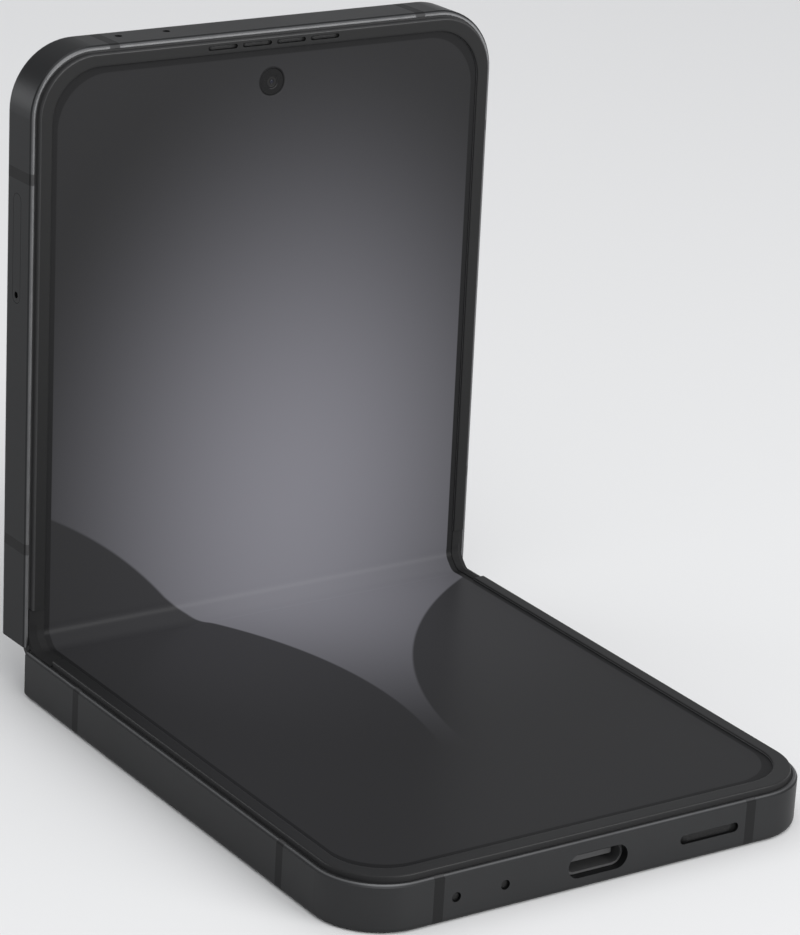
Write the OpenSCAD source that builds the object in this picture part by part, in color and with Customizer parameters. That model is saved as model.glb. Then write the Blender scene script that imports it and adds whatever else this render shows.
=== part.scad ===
// Foldable smartphone: two metal half frames on a two-axis geared hinge, with a display that bends.
// The lower half lies on its back glass. +X runs along the hinge, -Y towards the charging port.

/* [Body] */
// Width across the hinge
body_w = 71.9; // [70:0.1:75]
// Length of each half frame
half_l = 82.05; // [81:0.05:88]
// Thickness of each half frame
frame_t = 6.53; // [6.5:0.01:7.5]
// Outline radius of the far corners
corner_r = 9; // [8:0.1:10]
// Wall of the frame rim
rim_w = 1.9; // [1.8:0.05:2.1]
// Width of the rim's lip beside the bezel
lip_w = 0.6; // [0.5:0.05:0.7]
// Chamfer on the screen-side edge of the rim
edge_c = 0.35; // [0.2:0.05:0.4]
// Rounding of the rim's back edge
back_r = 0.8; // [0.4:0.05:0.85]
// Metal left visible round each back glass
back_lip = 0.95; // [0.9:0.05:1.2]
// Thickness of the back glasses
glass_t = 0.6; // [0.5:0.05:0.7]
// Thickness of each half's mid-plate
plate_t = 0.7; // [0.6:0.05:0.9]
// Width of the plastic antenna bands
band_w = 1.5; // [1:0.1:2]
// Depth of the antenna bands into the rim
band_depth = 1.2; // [0.8:0.1:1.3]
// Distance of the band near the hinge from the fold
band_near = 14.5; // [12:0.1:18]
// Distance of the band near the far end from the fold
band_far = 65.6; // [64.5:0.1:67]

/* [Hinge] */
// Distance of each hinge axis from the fold plane
axis_off = 1.655; // [1.6:0.005:1.8]
// Depth of the hinge axes under the frames' screen side
axis_depth = 0.735; // [0.7:0.005:0.85]
// Gap between the half frames when the phone is flat
hinge_gap = 1; // [0.9:0.05:1.2]
// Outer radius of the spine cover about each axis
spine_r = 4.205; // [4.15:0.005:4.3]
// Wall of the spine cover
cover_wall = 0.6; // [0.5:0.05:0.7]
// Running gap between the spine cover and the frames
barrel_gap = 0.145; // [0.12:0.005:0.2]
// Gap between each end of the spine and the rims
spine_end_gap = 0.1; // [0.06:0.01:0.3]
// Wall of each frame behind the spine
barrel_wall = 0.95; // [0.85:0.05:1.1]
// Angle between the two screens as drawn
rest_angle = 91; // [80:1:120]
// Pitch radius of the four meshing gears
gear_pitch_r = 1; // [0.95:0.01:1.02]
// Teeth on each gear
gear_teeth = 10; // [10:2:12]
// Width of the gears
gear_w = 3; // [2:0.1:3.2]
// Radius of the gear shafts
shaft_r = 0.36; // [0.3:0.01:0.4]
// Radial running clearance of the gears on their shafts
shaft_fit = 0.03; // [0.02:0.01:0.05]
// Inner radius of the rotators' arc rails
rail_r0 = 2.3; // [2.25:0.01:2.35]
// Outer radius of the rotators' arc rails
rail_r1 = 2.95; // [2.9:0.01:3]
// Clearance of the arc rails in their grooves
rail_fit = 0.05; // [0.03:0.01:0.07]
// Width of each arc rail along the hinge
rail_w = 3; // [2.5:0.1:3.2]
// Thickness of the rotator and arm plates
arm_t = 0.63; // [0.55:0.01:0.66]
// Distance of the arm tips from the fold
arm_reach = 9.5; // [9:0.1:10]

/* [Screen] */
// Thickness of the flexible display
display_t = 1.08; // [1:0.02:1.14]
// Height of the display's face over the rim's lip
display_rise = 0.5; // [0.4:0.02:0.55]
// Gap between the side of the display and the rim's side face
display_in = 1.75; // [1.7:0.05:1.9]
// Gap between the end of the display and the rim's end face
display_end_in = 2.35; // [2.3:0.05:2.5]
// Radius of the fold of the display as drawn
fold_r = 2.77; // [2.6:0.01:2.9]
// Distance of the rigid display panels from the fold
fold_y = 4.2; // [4.1:0.1:4.6]
// Height of the bezel over the rim's lip
bezel_rise = 0.82; // [0.7:0.01:0.86]
// Gap between the bezel and the rim's outer face
bezel_in = 0.92; // [0.9:0.01:1]
// Width of the bezel along the sides
bezel_w = 1.85; // [1.7:0.05:2.1]
// Width of the lower half's bezel at the far end
lower_bezel_end = 2.15; // [1.9:0.05:2.4]
// Width of the upper half's bezel at the far end
upper_bezel_end = 1.8; // [1.7:0.05:2]
// Width of the bezel's skirt beside the display
skirt_w = 0.7; // [0.6:0.05:0.72]
// Distance of the bezel's hinge-side ends from the fold
bezel_stop = 6.55; // [6:0.05:7]
// Radius of the front camera's hole in the display
punch_r = 1.85; // [1.6:0.05:2]
// Distance of the front camera from the far end
punch_end = 7.2; // [7.15:0.05:8]

/* [Ports] */
// Depth of the end-face openings under the rim's lip
port_depth = 3.3; // [3.2:0.05:3.4]
// How far the charging port's shell stands back from the end face
port_recess = 1.1; // [0.5:0.1:1.5]
// Width of the charging port's shell
port_w = 8.94; // [8.9:0.01:9]
// Height of the charging port's shell
port_h = 3.16; // [3.1:0.01:3.2]
// Clearance between inserts and the frame openings
insert_gap = 0.05; // [0.03:0.01:0.1]
// Distance of the loudspeaker slot's middle from the side
speaker_in = 18.6; // [18.3:0.05:19]
// Length of the loudspeaker slot
speaker_l = 9.2; // [8.5:0.1:9.6]
// Height of the loudspeaker slot
speaker_h = 1.3; // [1:0.1:1.5]
// Radius of the microphone holes
mic_r = 0.65; // [0.5:0.05:0.75]
// Distances of the microphone holes from the side
mic_in = [14.75, 21.95]; // [14:0.05:24]
// Distance of the SIM tray's near end from the fold
tray_y = 48.1; // [47.5:0.1:48.5]
// Length of the SIM tray's face
tray_l = 14.9; // [14.5:0.1:15.2]
// Height of the SIM tray's face
tray_h = 2; // [1.8:0.05:2.2]
// Depth of the SIM tray into the phone
tray_depth = 14.5; // [14:0.1:16]
// Thickness of the SIM tray behind its face
tray_t = 0.9; // [0.8:0.05:1]

/* [Keys] */
// Distance of the power key's near end from the fold
power_y = 35; // [34:0.1:37]
// Length of the power key
power_l = 11; // [10:0.1:13]
// Distance of the volume key's near end from the fold
volume_y = 50; // [49.5:0.1:51]
// Length of the volume key
volume_l = 13.8; // [12:0.1:14]
// Height of both keys
key_h = 2.2; // [2:0.05:2.4]
// How far the keys stand out of the rim
key_out = 0.35; // [0.25:0.01:0.45]
// Travel of the keys
key_travel = 0.25; // [0.2:0.01:0.3]

/* [Cameras] */
// Distance of the rear cameras from the far end
camera_end = 11.05; // [10.5:0.05:11.5]
// Distances of the rear cameras from the side
camera_in = [25.45, 10.95]; // [10.4:0.05:27]
// Outer radius of each camera ring
ring_r = 6; // [5.6:0.05:6.2]
// Height of the camera rings over the cover glass
ring_out = 1; // [0.6:0.05:1.3]
// Inner radius of the camera rings
lens_r = 4.6; // [4.2:0.05:4.8]

/* [Hidden] */
$fn = 64;

// A hair by which cutting shapes pass the faces they cut
cut = 0.01;
// The least clearance between two pieces
hair = 0.04;
// Half the closing turn from flat to the drawn pose: each hinge axis takes one half
half_fold = (180 - rest_angle) / 2;
// In each half's own frame y runs from the fold plane to the far end, and z = 0 is the rim's lip
hinge_y = hinge_gap / 2;
far_y = hinge_y + half_l;
fold_line_y = hinge_gap / 2 + half_l / 2;
side_x = body_w / 2;
inner_x = side_x - rim_w;
axis_z = -axis_depth;
seat_z = display_rise - display_t;
plate_z = seat_z - plate_t;
glass_z = glass_t - frame_t;

// Frames
hinge_seat_y = 13.5;
hinge_seat_t = 1.2;
plate_overlap = 0.3;
wall_run = 2.5;
band_x = side_x - 12.15;
glass_start = 2.4;
inner_gap = 0.1;

// Spine
pocket_r = spine_r + barrel_gap;
trough_r = spine_r - cover_wall;
spine_x = inner_x - spine_end_gap;
beam_y = axis_off + pocket_r - 0.2;
cap_t = 1.2;
wing_t = 0.3;
wing_x = inner_x - 0.15;
arm_top = seat_z - wing_t;
arm_bottom = arm_top - arm_t;
cover_lip = 0.17;
cover_top = arm_bottom - cover_lip;
rib_w = 1.8;
rib_drop = 0.37;
rib_top = seat_z - rib_drop;

// Gears and arms
gear_y = [-3 * gear_pitch_r, -gear_pitch_r, gear_pitch_r, 3 * gear_pitch_r];
gear_z = axis_z - (3 * gear_pitch_r - axis_off);
gear_module = 2 * gear_pitch_r / gear_teeth;
gear_tip_r = gear_pitch_r + 0.8 * gear_module;
gear_root_r = gear_pitch_r - 1.05 * gear_module;
pressure_angle = 25;
backlash = 0.03;
arm_dip = (sqrt(2) - 1) * (3 * gear_pitch_r - axis_off);
arm_room = 0.12;
arm_head_gap = 0.07;
arm_neck = [1.25 * gear_pitch_r, gear_pitch_r * [0.36, 0.7]];

// Places along the hinge of each mechanism, on the +X side and mirrored on the -X side
bracket_l = 20;
bracket_x1 = spine_x - cap_t - 0.75;
bracket_x0 = bracket_x1 - bracket_l;
lower_rail_x = bracket_x0 + 1.2;
upper_rail_x = lower_rail_x + rail_w + 1.4;
gear_x = upper_rail_x + rail_w + 1.6;
gear_side = 0.12;
spring_x = gear_x + gear_w + 1;
spring_l = 3.2;
shaft_start = gear_x - 1.1;
shaft_l = spring_x + spring_l + 1.4 - shaft_start;
bracket_fit = 0.05;
slot_side = 0.08;

// Rotators and their screws
rotator_reach = hinge_seat_y - 0.9;
rail_from = -170;
rail_to = -3;
groove_ends = [6, 13];
screw_y = [hinge_seat_y - 5.3, hinge_seat_y - 2.1];
hinge_screw_r = 0.5;
hinge_head_r = 0.85;
hinge_head_t = 0.3;
screw_grip = 0.1;
recess_l = 1;
recess_w = 0.22;

// Disc springs
disc_count = 6;
disc_gap = 0.02;
disc_pitch = spring_l / disc_count - disc_gap;
disc_t = 0.16;
disc_r0 = shaft_r + 0.02;
disc_r1 = gear_pitch_r - 0.1;

// Screen
display_x = side_x - display_in;
display_far = far_y - display_end_in;
display_corner = 7.5;
window_corner = 7;
bezel_chamfer = 0.14;
flange_z = display_rise + hair;
skirt_end_w = 0.4;
guard_w = 2.1;
guard_stem = 0.4;
guard_lap = 1.2;
guard_x = side_x - lip_w - 0.1;
punch_y = far_y - punch_end;

// Flex cable between the boards, under the plates
flex_w = 9;
flex_t = 0.12;
flex_top = plate_z - 0.05;
flex_lift = 0.5;
plug_l = 2;
plug_w = 8;

// Earpiece
ear_pitch = 5.3;
ear_l = 4.5;
ear_h = 0.6;
ear_y = far_y - bezel_in - 0.82;
ear_mesh_t = 0.35;
ear_body = [4.6, 5.55, 2.2];

// Inner pieces of both halves
battery_x = inner_x - 4.05;
battery_start = hinge_seat_y + 1.5;
battery_room = 0.15;
battery_top = flex_top - flex_t - 0.05;
magnet_x = [battery_x + 1, inner_x - 0.65];
magnet_y = [battery_start + 9, battery_start + 15];
magnet_h = 2;
mic_x = [for (side = mic_in) side - side_x];
mic_body = mic_r + 0.95;
mic_l = 2;
mic_h = 1.6;
upper_mic_drop = 0.45;
upper_mic_r = 0.8 * mic_r;
board_t = 0.6;

// Inner pieces, lower half
lower_board_x = inner_x - 3.05;
sub_board_y = [far_y - 20.05, far_y - 3.05];
battery_y = [battery_start, sub_board_y[0] - 2];
flex_turn_y = sub_board_y[0] - 1.4;
coil_t = 0.3;
coil_r = battery_x - 10;
coil_hole_r = 0.55 * coil_r;
port_floor = -port_depth - port_h / 2;
port_l = 7.2;
port_wall = 0.3;
tongue = [6.7, 0.7];
tongue_drop = 0.9;
speaker_x = side_x - speaker_in;
speaker_body_y = far_y - 18.55;
speaker_reach = [7.5, 13];
mesh_t = 0.25;
mesh_back = 0.4;
motor_l = [9, 10];
motor_h = 3.2;

// Inner pieces, upper half
camera_y = far_y - camera_end;
camera_x = [for (side = camera_in) side_x - side];
camera_body = 11;
camera_room = 0.4;
camera_step = 0.3;
ring_seat = 0.5;
lens_t = 0.8;
lens_drop = 0.2;
ring_chamfer = 0.25;
flash_x = (camera_x[0] + camera_x[1]) / 2;
flash_y = camera_y - 7.2;
flash_r = 1.4;
board_z = -1.9;
board_x = [1.05 - inner_x, inner_x - 1.65];
board_y = [far_y - 40.55, far_y - 5.75];
shield_gap = 1.5;
shield_x = [tray_depth - side_x + 5.95, inner_x - 11.05];
shield_w = (shield_x[1] - shield_x[0] - shield_gap) / 2;
shield_y = [board_y[0] + 2, camera_y - 9.5];
shield_h = 1.4;
cover_display_y = [hinge_seat_y + 0.5, camera_y - 9.5];
cover_display_t = 0.8;
front_camera_r = punch_r - 0.35;
front_camera_l = 4.5;
front_box = [2.6, 1.5];
front_box_z = [-4.2, plate_z - 0.2];

// SIM tray
tray_z = -3.45;
face_t = 1.25;
tray_side = 1.3;
tray_mid = tray_y + tray_l / 2;
tongue_y = [tray_y + tray_side, tray_y + tray_l - tray_side];
card_in = [3.4, 12.3];
card_edge = 1.2;
pin_hole_y = tray_y + 1.1;
pin_hole_r = 0.45;
reader_wall = 0.5;
reader_end = tray_depth - side_x + 3 * inner_gap;

// Keys
key_z = -3.3;
flange = 0.45;
flange_t = 0.35;
flange_gap = 0.05;
switch_gap = key_travel + 0.05;
switch_box = [0.8, 2.8, 1.7];
switch_in = 3;

// Colours
graphite = "#3b3c3e";
black_plastic = "#26272a";
screen_black = "#17171c";
steel = "#9a9ca0";
board_green = "#1f4a3a";
gold = "#b79a55";
lamp_white = "#e9e4d6";

// ---- Placing the bodies ----

// A half drawn in its own frame, laid down as the lower half
module lower() translate([0, fold_line_y, frame_t]) mirror([0, 1, 0]) children();

// The spine's frame: y = 0 midway between the axes, z as on the halves when flat
module spine()
  translate([0, fold_line_y - axis_off, frame_t + axis_z])
    rotate([half_fold, 0, 0]) translate([0, axis_off, -axis_z]) children();

// A half drawn in its own frame, raised as the upper half
module upper()
  spine() translate([0, axis_off, axis_z]) rotate([half_fold, 0, 0])
    translate([0, -axis_off, -axis_z]) children();

// ---- Shapes used by several pieces ----

// A block between two corners given as ranges
module block(x, y, z) translate([x[0], y[0], z[0]]) cube([x[1] - x[0], y[1] - y[0], z[1] - z[0]]);

// The same child on both sides of the middle
module both_sides() for (side = [0, 1]) mirror([side, 0, 0]) children();

// A plane outline, y across and z up, drawn along X from x0 over length
module along_x(x0, length) translate([x0, 0, 0]) rotate([90, 0, 90]) linear_extrude(length) children();

// A plane outline, x across and z up, drawn along Y from y0 over length
module along_y(y0, length)
  translate([0, y0 + length, 0]) rotate([90, 0, 0]) linear_extrude(length) children();

// A half's outline from y0 to the far end, pulled in by the inset, with round far corners
module plan(inset, y0, end_inset = -1, corner = -1) {
  end_y = far_y - (end_inset < 0 ? inset : end_inset);
  w = side_x - inset;
  r = corner < 0 ? corner_r - inset : corner;
  translate([-w, y0]) square([2 * w, end_y - r - y0]);
  translate([-w + r, y0]) square([2 * (w - r), end_y - y0]);
  for (side = [-1, 1]) translate([side * (w - r), end_y - r]) circle(r);
}

module slab(z0, z1) translate([0, 0, z0]) linear_extrude(z1 - z0) children();

// A slot with round ends, long along the first axis
module slot_2d(length, height) {
  square([length - height, height], center = true);
  for (side = [-1, 1]) translate([side * (length - height) / 2, 0]) circle(height / 2);
}

// A section, with x = 0 on the outer face and the metal at x < 0, swept round a half from y0
module sweep_rim(y0) {
  both_sides() translate([side_x, 0, 0]) along_y(y0, far_y - corner_r - y0) children();
  both_sides() translate([side_x - corner_r, far_y - corner_r, 0])
    rotate_extrude(angle = 90, $fn = 96) translate([corner_r, 0]) children();
  translate([0, far_y, 0]) along_x(corner_r - side_x, body_w - 2 * corner_r) children();
}

function arc(cx, cz, r, from, to, steps) =
  [for (i = [0:steps]) let (a = from + (to - from) * i / steps) [cx + r * cos(a), cz + r * sin(a)]];

// Rim section: chamfered lip, display seat, wall, glass seat and rounded back edge
module rim_section() polygon(concat(
  [[0, -edge_c], [-edge_c, 0], [-lip_w, 0], [-lip_w, seat_z], [-rim_w, seat_z],
   [-rim_w, glass_z], [-back_lip, glass_z], [-back_lip, -frame_t]],
  arc(-back_r, back_r - frame_t, back_r, -90, 0, 6)));

// The part of the rim section that an antenna band fills
module band_section() intersection() {
  rim_section();
  translate([-band_depth, -frame_t - 1]) square([band_depth + 1, frame_t + 2]);
}

// The outline of the spine at radius r about both axes, up to z = top
module spine_outline(r, top) intersection() {
  union() {
    for (side = [-1, 1]) translate([side * axis_off, axis_z]) circle(r, $fn = 120);
    translate([-axis_off, axis_z - r]) square([2 * axis_off, r]);
  }
  translate([-10, -10]) square([20, 10 + top]);
}

// Part of a flat ring about a half's hinge axis, between two angles less than a turn apart
module ring_part(r0, r1, from, to) intersection() {
  translate([axis_off, axis_z]) difference() {
    circle(r1, $fn = 96);
    circle(r0, $fn = 96);
  }
  translate([axis_off, axis_z])
    polygon(concat([[0, 0]], [for (i = [0:8]) let (a = from + (to - from) * i / 8) 6 * [cos(a), sin(a)]]));
}

// Involute gear: half the angle that a tooth fills at radius r
function involute(a) = tan(a) * 180 / PI - a;
function tooth_half(r) =
  let (base_r = gear_pitch_r * cos(pressure_angle))
  90 / gear_teeth - backlash / 2 / gear_pitch_r * 180 / PI
  + involute(pressure_angle) - involute(acos(min(1, base_r / max(r, base_r))));

module gear_outline(phase) {
  steps = 4;
  radii = [for (i = [0:steps]) gear_root_r + (gear_tip_r - gear_root_r) * i / steps];
  rotate(phase) polygon([for (tooth = [0:gear_teeth - 1], flank = [-1, 1], i = [0:steps])
    let (r = radii[flank < 0 ? i : steps - i], a = tooth * 360 / gear_teeth + flank * tooth_half(r))
    r * [cos(a), sin(a)]]);
}

// A gear centre in the spine's frame, turned to the drawn pose
module at_gear(index, turn)
  translate([0, gear_y[index], gear_z]) rotate([turn * half_fold, 0, 0]) children();

module gear(phase) difference() {
  along_x(gear_x, gear_w) gear_outline(phase);
  along_x(gear_x - cut, gear_w + 2 * cut) circle(shaft_r + shaft_fit);
}

// ---- Half frames ----

// Metal near the hinge: the wall behind the spine and the seat that carries the hinge plates
module hinge_beam() difference() {
  along_x(-inner_x - plate_overlap, 2 * (inner_x + plate_overlap)) difference() {
    union() {
      intersection() {
        translate([axis_off, axis_z]) circle(pocket_r + barrel_wall, $fn = 120);
        translate([axis_off, -frame_t]) square([10, frame_t + arm_bottom]);
      }
      translate([hinge_y, -frame_t]) square([axis_off - hinge_y, frame_t + axis_z - pocket_r + 1]);
      translate([beam_y, arm_bottom - hinge_seat_t]) square([hinge_seat_y - beam_y, hinge_seat_t]);
    }
    translate([axis_off, axis_z]) circle(pocket_r, $fn = 120);
    translate([0, axis_z - pocket_r]) square([axis_off, pocket_r]);
  }
  arm_windows();
}

// Room for the sync arms, which slide and dip as the phone folds
module arm_windows() both_sides()
  block([gear_x - arm_room, gear_x + gear_w + arm_room], [0, arm_reach + arm_room],
    [arm_bottom - arm_dip - arm_room, 0]);

module glass_recess(z) slab(-frame_t - cut, z) plan(back_lip, glass_start);

// Rounded back corner where each half meets the spine
module hinge_corner_cut() along_x(-side_x - 1, body_w + 2) difference() {
  translate([hinge_y - 1, -frame_t - 1]) square([1 + back_r, 1 + back_r]);
  translate([hinge_y + back_r, back_r - frame_t]) circle(back_r);
}

module band_slots() {
  both_sides() for (y = [band_near, band_far])
    translate([side_x, 0, 0]) along_y(y - band_w / 2, band_w) band_section();
  both_sides() translate([0, far_y, 0]) along_x(band_x - band_w / 2, band_w) band_section();
}

module band_cuts() {
  both_sides() for (y = [band_near, band_far])
    block([side_x - band_depth, side_x + 1], [y - band_w / 2, y + band_w / 2], [-frame_t - 1, 1]);
  both_sides() block([band_x - band_w / 2, band_x + band_w / 2], [far_y - band_depth, far_y + 1],
    [-frame_t - 1, 1]);
}

module half_frame() difference() {
  union() {
    sweep_rim(hinge_y) rim_section();
    slab(plate_z, seat_z) plan(rim_w - plate_overlap, hinge_seat_y);
    hinge_beam();
  }
  glass_recess(glass_z);
  hinge_corner_cut();
  band_cuts();
}

// Screws of the rotators, from the seat's top: places of the holes
module at_hinge_screws(rail_x) both_sides() for (y = screw_y)
  translate([rail_x + rail_w / 2, y, arm_bottom]) children();

// A hole of radius r through the far wall, at x and z
module end_hole(x, z, r)
  translate([x, far_y + 1, z]) rotate([90, 0, 0]) cylinder(r = r, h = rim_w + wall_run);

module end_slot(x, z, length, height)
  translate([x, 0, z]) along_y(far_y - rim_w - wall_run + 1, rim_w + wall_run) slot_2d(length, height);

module lower_frame() color(graphite) lower() difference() {
  half_frame();
  end_slot(0, -port_depth, port_w + 2 * insert_gap, port_h + 2 * insert_gap);
  end_slot(speaker_x, -port_depth, speaker_l, speaker_h);
  for (x = mic_x) end_hole(x, -port_depth, mic_r);
  at_hinge_screws(lower_rail_x) translate([0, 0, -hinge_seat_t - cut])
    cylinder(r = hinge_screw_r, h = hinge_seat_t + 2 * cut, $fn = 32);
}

module upper_frame() color(graphite) upper() difference() {
  half_frame();
  for (x = mic_x) end_hole(x, -port_depth - upper_mic_drop, upper_mic_r);
  tray_space(insert_gap);
  key_space(power_y, power_l);
  key_space(volume_y, volume_l);
  translate([0, punch_y, plate_z - cut]) cylinder(r = punch_r, h = plate_t + 2 * cut);
  earpiece_duct();
  at_hinge_screws(upper_rail_x) translate([0, 0, -hinge_seat_t - cut])
    cylinder(r = hinge_screw_r, h = hinge_seat_t + 2 * cut, $fn = 32);
}

module lower_antenna_bands() color(black_plastic) lower() band_slots();
module upper_antenna_bands() color(black_plastic) upper() band_slots();

// ---- Glasses ----

module back_glass() slab(-frame_t, glass_z) plan(back_lip, glass_start);

module lower_back_glass() color(graphite) lower() back_glass();

module cover_glass() color(screen_black) upper() difference() {
  back_glass();
  for (x = camera_x) translate([x, camera_y, -frame_t - 1])
    cylinder(r = lens_r + ring_seat, h = glass_t + 2);
  translate([flash_x, flash_y, -frame_t - 1]) cylinder(r = flash_r + insert_gap, h = glass_t + 2);
}

// ---- Screen pieces ----

// Raised bezel: a flange over the display's edge and a skirt down to the display seat
module bezel(end_w) {
  difference() {
    union() {
      slab(flange_z, bezel_rise - bezel_chamfer) plan(bezel_in, bezel_stop);
      slab(bezel_rise - bezel_chamfer - cut, bezel_rise)
        plan(bezel_in + bezel_chamfer, bezel_stop);
    }
    slab(-1, bezel_rise + 1) plan(bezel_in + bezel_w, bezel_stop - 1, bezel_in + end_w, window_corner);
  }
  difference() {
    slab(seat_z, flange_z + cut) plan(bezel_in, bezel_stop);
    slab(seat_z - 1, 1) plan(bezel_in + skirt_w, bezel_stop - 1, bezel_in + skirt_end_w);
  }
}

module lower_bezel() color(black_plastic) lower() bezel(lower_bezel_end);

module upper_bezel() color(black_plastic) upper() difference() {
  bezel(upper_bezel_end);
  for (i = [-1.5:1:1.5]) translate([i * ear_pitch, ear_y, -1])
    linear_extrude(bezel_rise + 2) slot_2d(ear_l, ear_h);
}

module earpiece_mesh() color(steel) upper()
  block([-2 * ear_pitch, 2 * ear_pitch], [display_far + hair, far_y - bezel_in - skirt_end_w - hair],
    [seat_z, seat_z + ear_mesh_t]);

module earpiece_duct() translate([0, ear_y, 0])
  block([-1.5 * ear_pitch, 1.5 * ear_pitch], [-ear_h / 2, ear_h / 2], [plate_z - 1, 0]);

module display_panel() slab(seat_z, display_rise)
  plan(display_in, fold_y, display_end_in, display_corner);

module lower_display_panel() color(screen_black) lower() display_panel();

module upper_display_panel() color(screen_black) upper() difference() {
  display_panel();
  translate([0, punch_y, -2]) cylinder(r = punch_r, h = 3);
}

// Where the screen plane of a half, turned by half_fold, crosses the fold plane of the spine
fold_plane_z = axis_z + (display_rise - axis_z) / cos(half_fold) - axis_off * tan(half_fold);
bend_center = fold_plane_z + fold_r / cos(half_fold);
// Distance from the fold plane at which the bend ends, in each half's own frame
bend_end = axis_off + ((0 - axis_off) * cos(half_fold) + (fold_plane_z - axis_z) * sin(half_fold))
  + fold_r * tan(half_fold);

// A sheet that runs round the fold, as thick as t below z = top of the halves
module fold_sheet(w, top, t) {
  r = fold_r + display_rise - top;
  spine() along_x(-w, 2 * w) translate([0, bend_center]) intersection() {
    difference() {
      circle(r + t, $fn = 120);
      circle(r, $fn = 120);
    }
    polygon([[0, 0], 9 * [-sin(half_fold), -cos(half_fold)], [0, -12],
      9 * [sin(half_fold), -cos(half_fold)]]);
  }
  lower() block([-w, w], [bend_end, fold_y], [top - t, top]);
  upper() block([-w, w], [bend_end, fold_y], [top - t, top]);
}

module display_fold() color(screen_black) fold_sheet(display_x, display_rise, display_t);

module hinge_flex_cable() color(gold) fold_sheet(flex_w / 2, flex_top, flex_t);

// Guards that fill the corners between the bezels at both ends of the fold
module fold_guards() color(black_plastic) spine() both_sides() {
  stem = [-guard_stem / 2, guard_stem / 2];
  outside = [display_x + inner_gap, guard_x];
  block([spine_x - guard_lap, guard_x], stem, [seat_z - 1, seat_z - hair]);
  block(outside, [-guard_w / 2, guard_w / 2], [seat_z + inner_gap, -2 * hair]);
  block(outside, stem, [seat_z - inner_gap, seat_z + 2 * inner_gap]);
}

// ---- Hinge ----

module spine_cover() color(graphite) spine() along_x(-spine_x, 2 * spine_x) difference() {
  spine_outline(spine_r, cover_top);
  spine_outline(trough_r, 1);
}

module spine_end_caps() color(black_plastic) spine() both_sides()
  along_x(spine_x - cap_t, cap_t) spine_outline(trough_r - bracket_fit, cover_top);

// Groove in which the arc rail of the upper side's rotator runs
module rail_groove(rail_x) along_x(rail_x - slot_side, rail_w + 2 * slot_side)
  ring_part(rail_r0 - rail_fit, rail_r1 + rail_fit, rail_from - groove_ends[0], rail_to + groove_ends[1]);

module gear_room(x0, length)
  block([x0 - gear_side, x0 + length + gear_side],
    [gear_y[0] - gear_tip_r - gear_side, gear_y[3] + gear_tip_r + gear_side],
    [gear_z - gear_tip_r - gear_side, 1]);

module hinge_brackets() color(steel) spine() both_sides() difference() {
  along_x(bracket_x0, bracket_x1 - bracket_x0) {
    spine_outline(trough_r - bracket_fit, cover_top);
    translate([-rib_w / 2, cover_top - 1]) square([rib_w, rib_top - cover_top + 1]);
  }
  rail_groove(upper_rail_x);
  mirror([0, 1, 0]) rail_groove(lower_rail_x);
  gear_room(gear_x, gear_w);
  gear_room(spring_x, spring_l);
  at_shafts() cylinder(r = shaft_r, h = shaft_l, $fn = 32);
}

module at_shafts() for (y = gear_y) translate([shaft_start, y, gear_z]) rotate([0, 90, 0]) children();

module gear_shafts() color(steel) spine() both_sides() at_shafts()
  cylinder(r = shaft_r, h = shaft_l, $fn = 32);

// Stacks of disc springs, each cone turned against the next, that load the gear train on its shafts
module disc_spring(turned) {
  rim_z = turned ? disc_pitch - disc_t : 0;
  rotate_extrude($fn = 32) polygon([[disc_r0, disc_pitch - disc_t - rim_z], [disc_r1, rim_z],
    [disc_r1, rim_z + disc_t], [disc_r0, disc_pitch - rim_z]]);
}

module disc_springs() color(steel) spine() both_sides() for (y = gear_y, i = [0:disc_count - 1])
  translate([spring_x + i * (disc_pitch + disc_gap), y, gear_z]) rotate([0, 90, 0]) disc_spring(i % 2 == 1);

module fold_support() color(steel) spine()
  block([-bracket_x1, bracket_x1], [-rib_w / 4, rib_w / 4], [rib_top, seat_z - hair / 2]);

module sync_arm(phase) {
  z0 = arm_bottom - gear_z;
  z1 = arm_top - arm_head_gap - gear_z;
  difference() {
    union() {
      along_x(gear_x, gear_w) gear_outline(phase);
      along_x(gear_x, gear_w) polygon([[0, 0], [gear_root_r, 0], [arm_neck[0], z0],
        [arm_reach - gear_y[3], z0], [arm_reach - gear_y[3], z1], [gear_pitch_r, z1], arm_neck[1]]);
    }
    along_x(gear_x - cut, gear_w + 2 * cut) circle(shaft_r + shaft_fit, $fn = 32);
  }
}

module lower_sync_arms() color(gold) spine() at_gear(0, -1) both_sides() mirror([0, 1, 0]) sync_arm(0);
module lower_idler_gears() color(gold) spine() at_gear(1, 1) both_sides() gear(180 / gear_teeth);
module upper_idler_gears() color(gold) spine() at_gear(2, -1) both_sides() gear(0);
module upper_sync_arms() color(gold) spine() at_gear(3, 1) both_sides() sync_arm(180 / gear_teeth);

// Rotators: an arc rail under each plate, screwed to the half frame
module rotators(rail_x) difference() {
  both_sides() along_x(rail_x, rail_w) {
    ring_part(rail_r0, rail_r1, rail_from, rail_to);
    translate([axis_off + rail_r0, arm_bottom]) square([rotator_reach - axis_off - rail_r0, arm_t]);
  }
  at_hinge_screws(rail_x) {
    translate([0, 0, -cut]) cylinder(r = hinge_screw_r, h = arm_t + 2 * cut, $fn = 32);
    translate([0, 0, arm_t - hinge_head_t]) cylinder(r = hinge_head_r, h = 1, $fn = 32);
  }
}

module hinge_screws(rail_x) at_hinge_screws(rail_x) {
  translate([0, 0, screw_grip - hinge_seat_t])
    cylinder(r = hinge_screw_r, h = hinge_seat_t + screw_grip, $fn = 32);
  translate([0, 0, arm_t - hinge_head_t]) difference() {
    cylinder(r = hinge_head_r, h = hinge_head_t, $fn = 32);
    for (turn = [0, 90]) rotate(turn) translate([0, 0, hinge_head_t])
      cube([recess_l, recess_w, hinge_head_t], center = true);
  }
}

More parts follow.
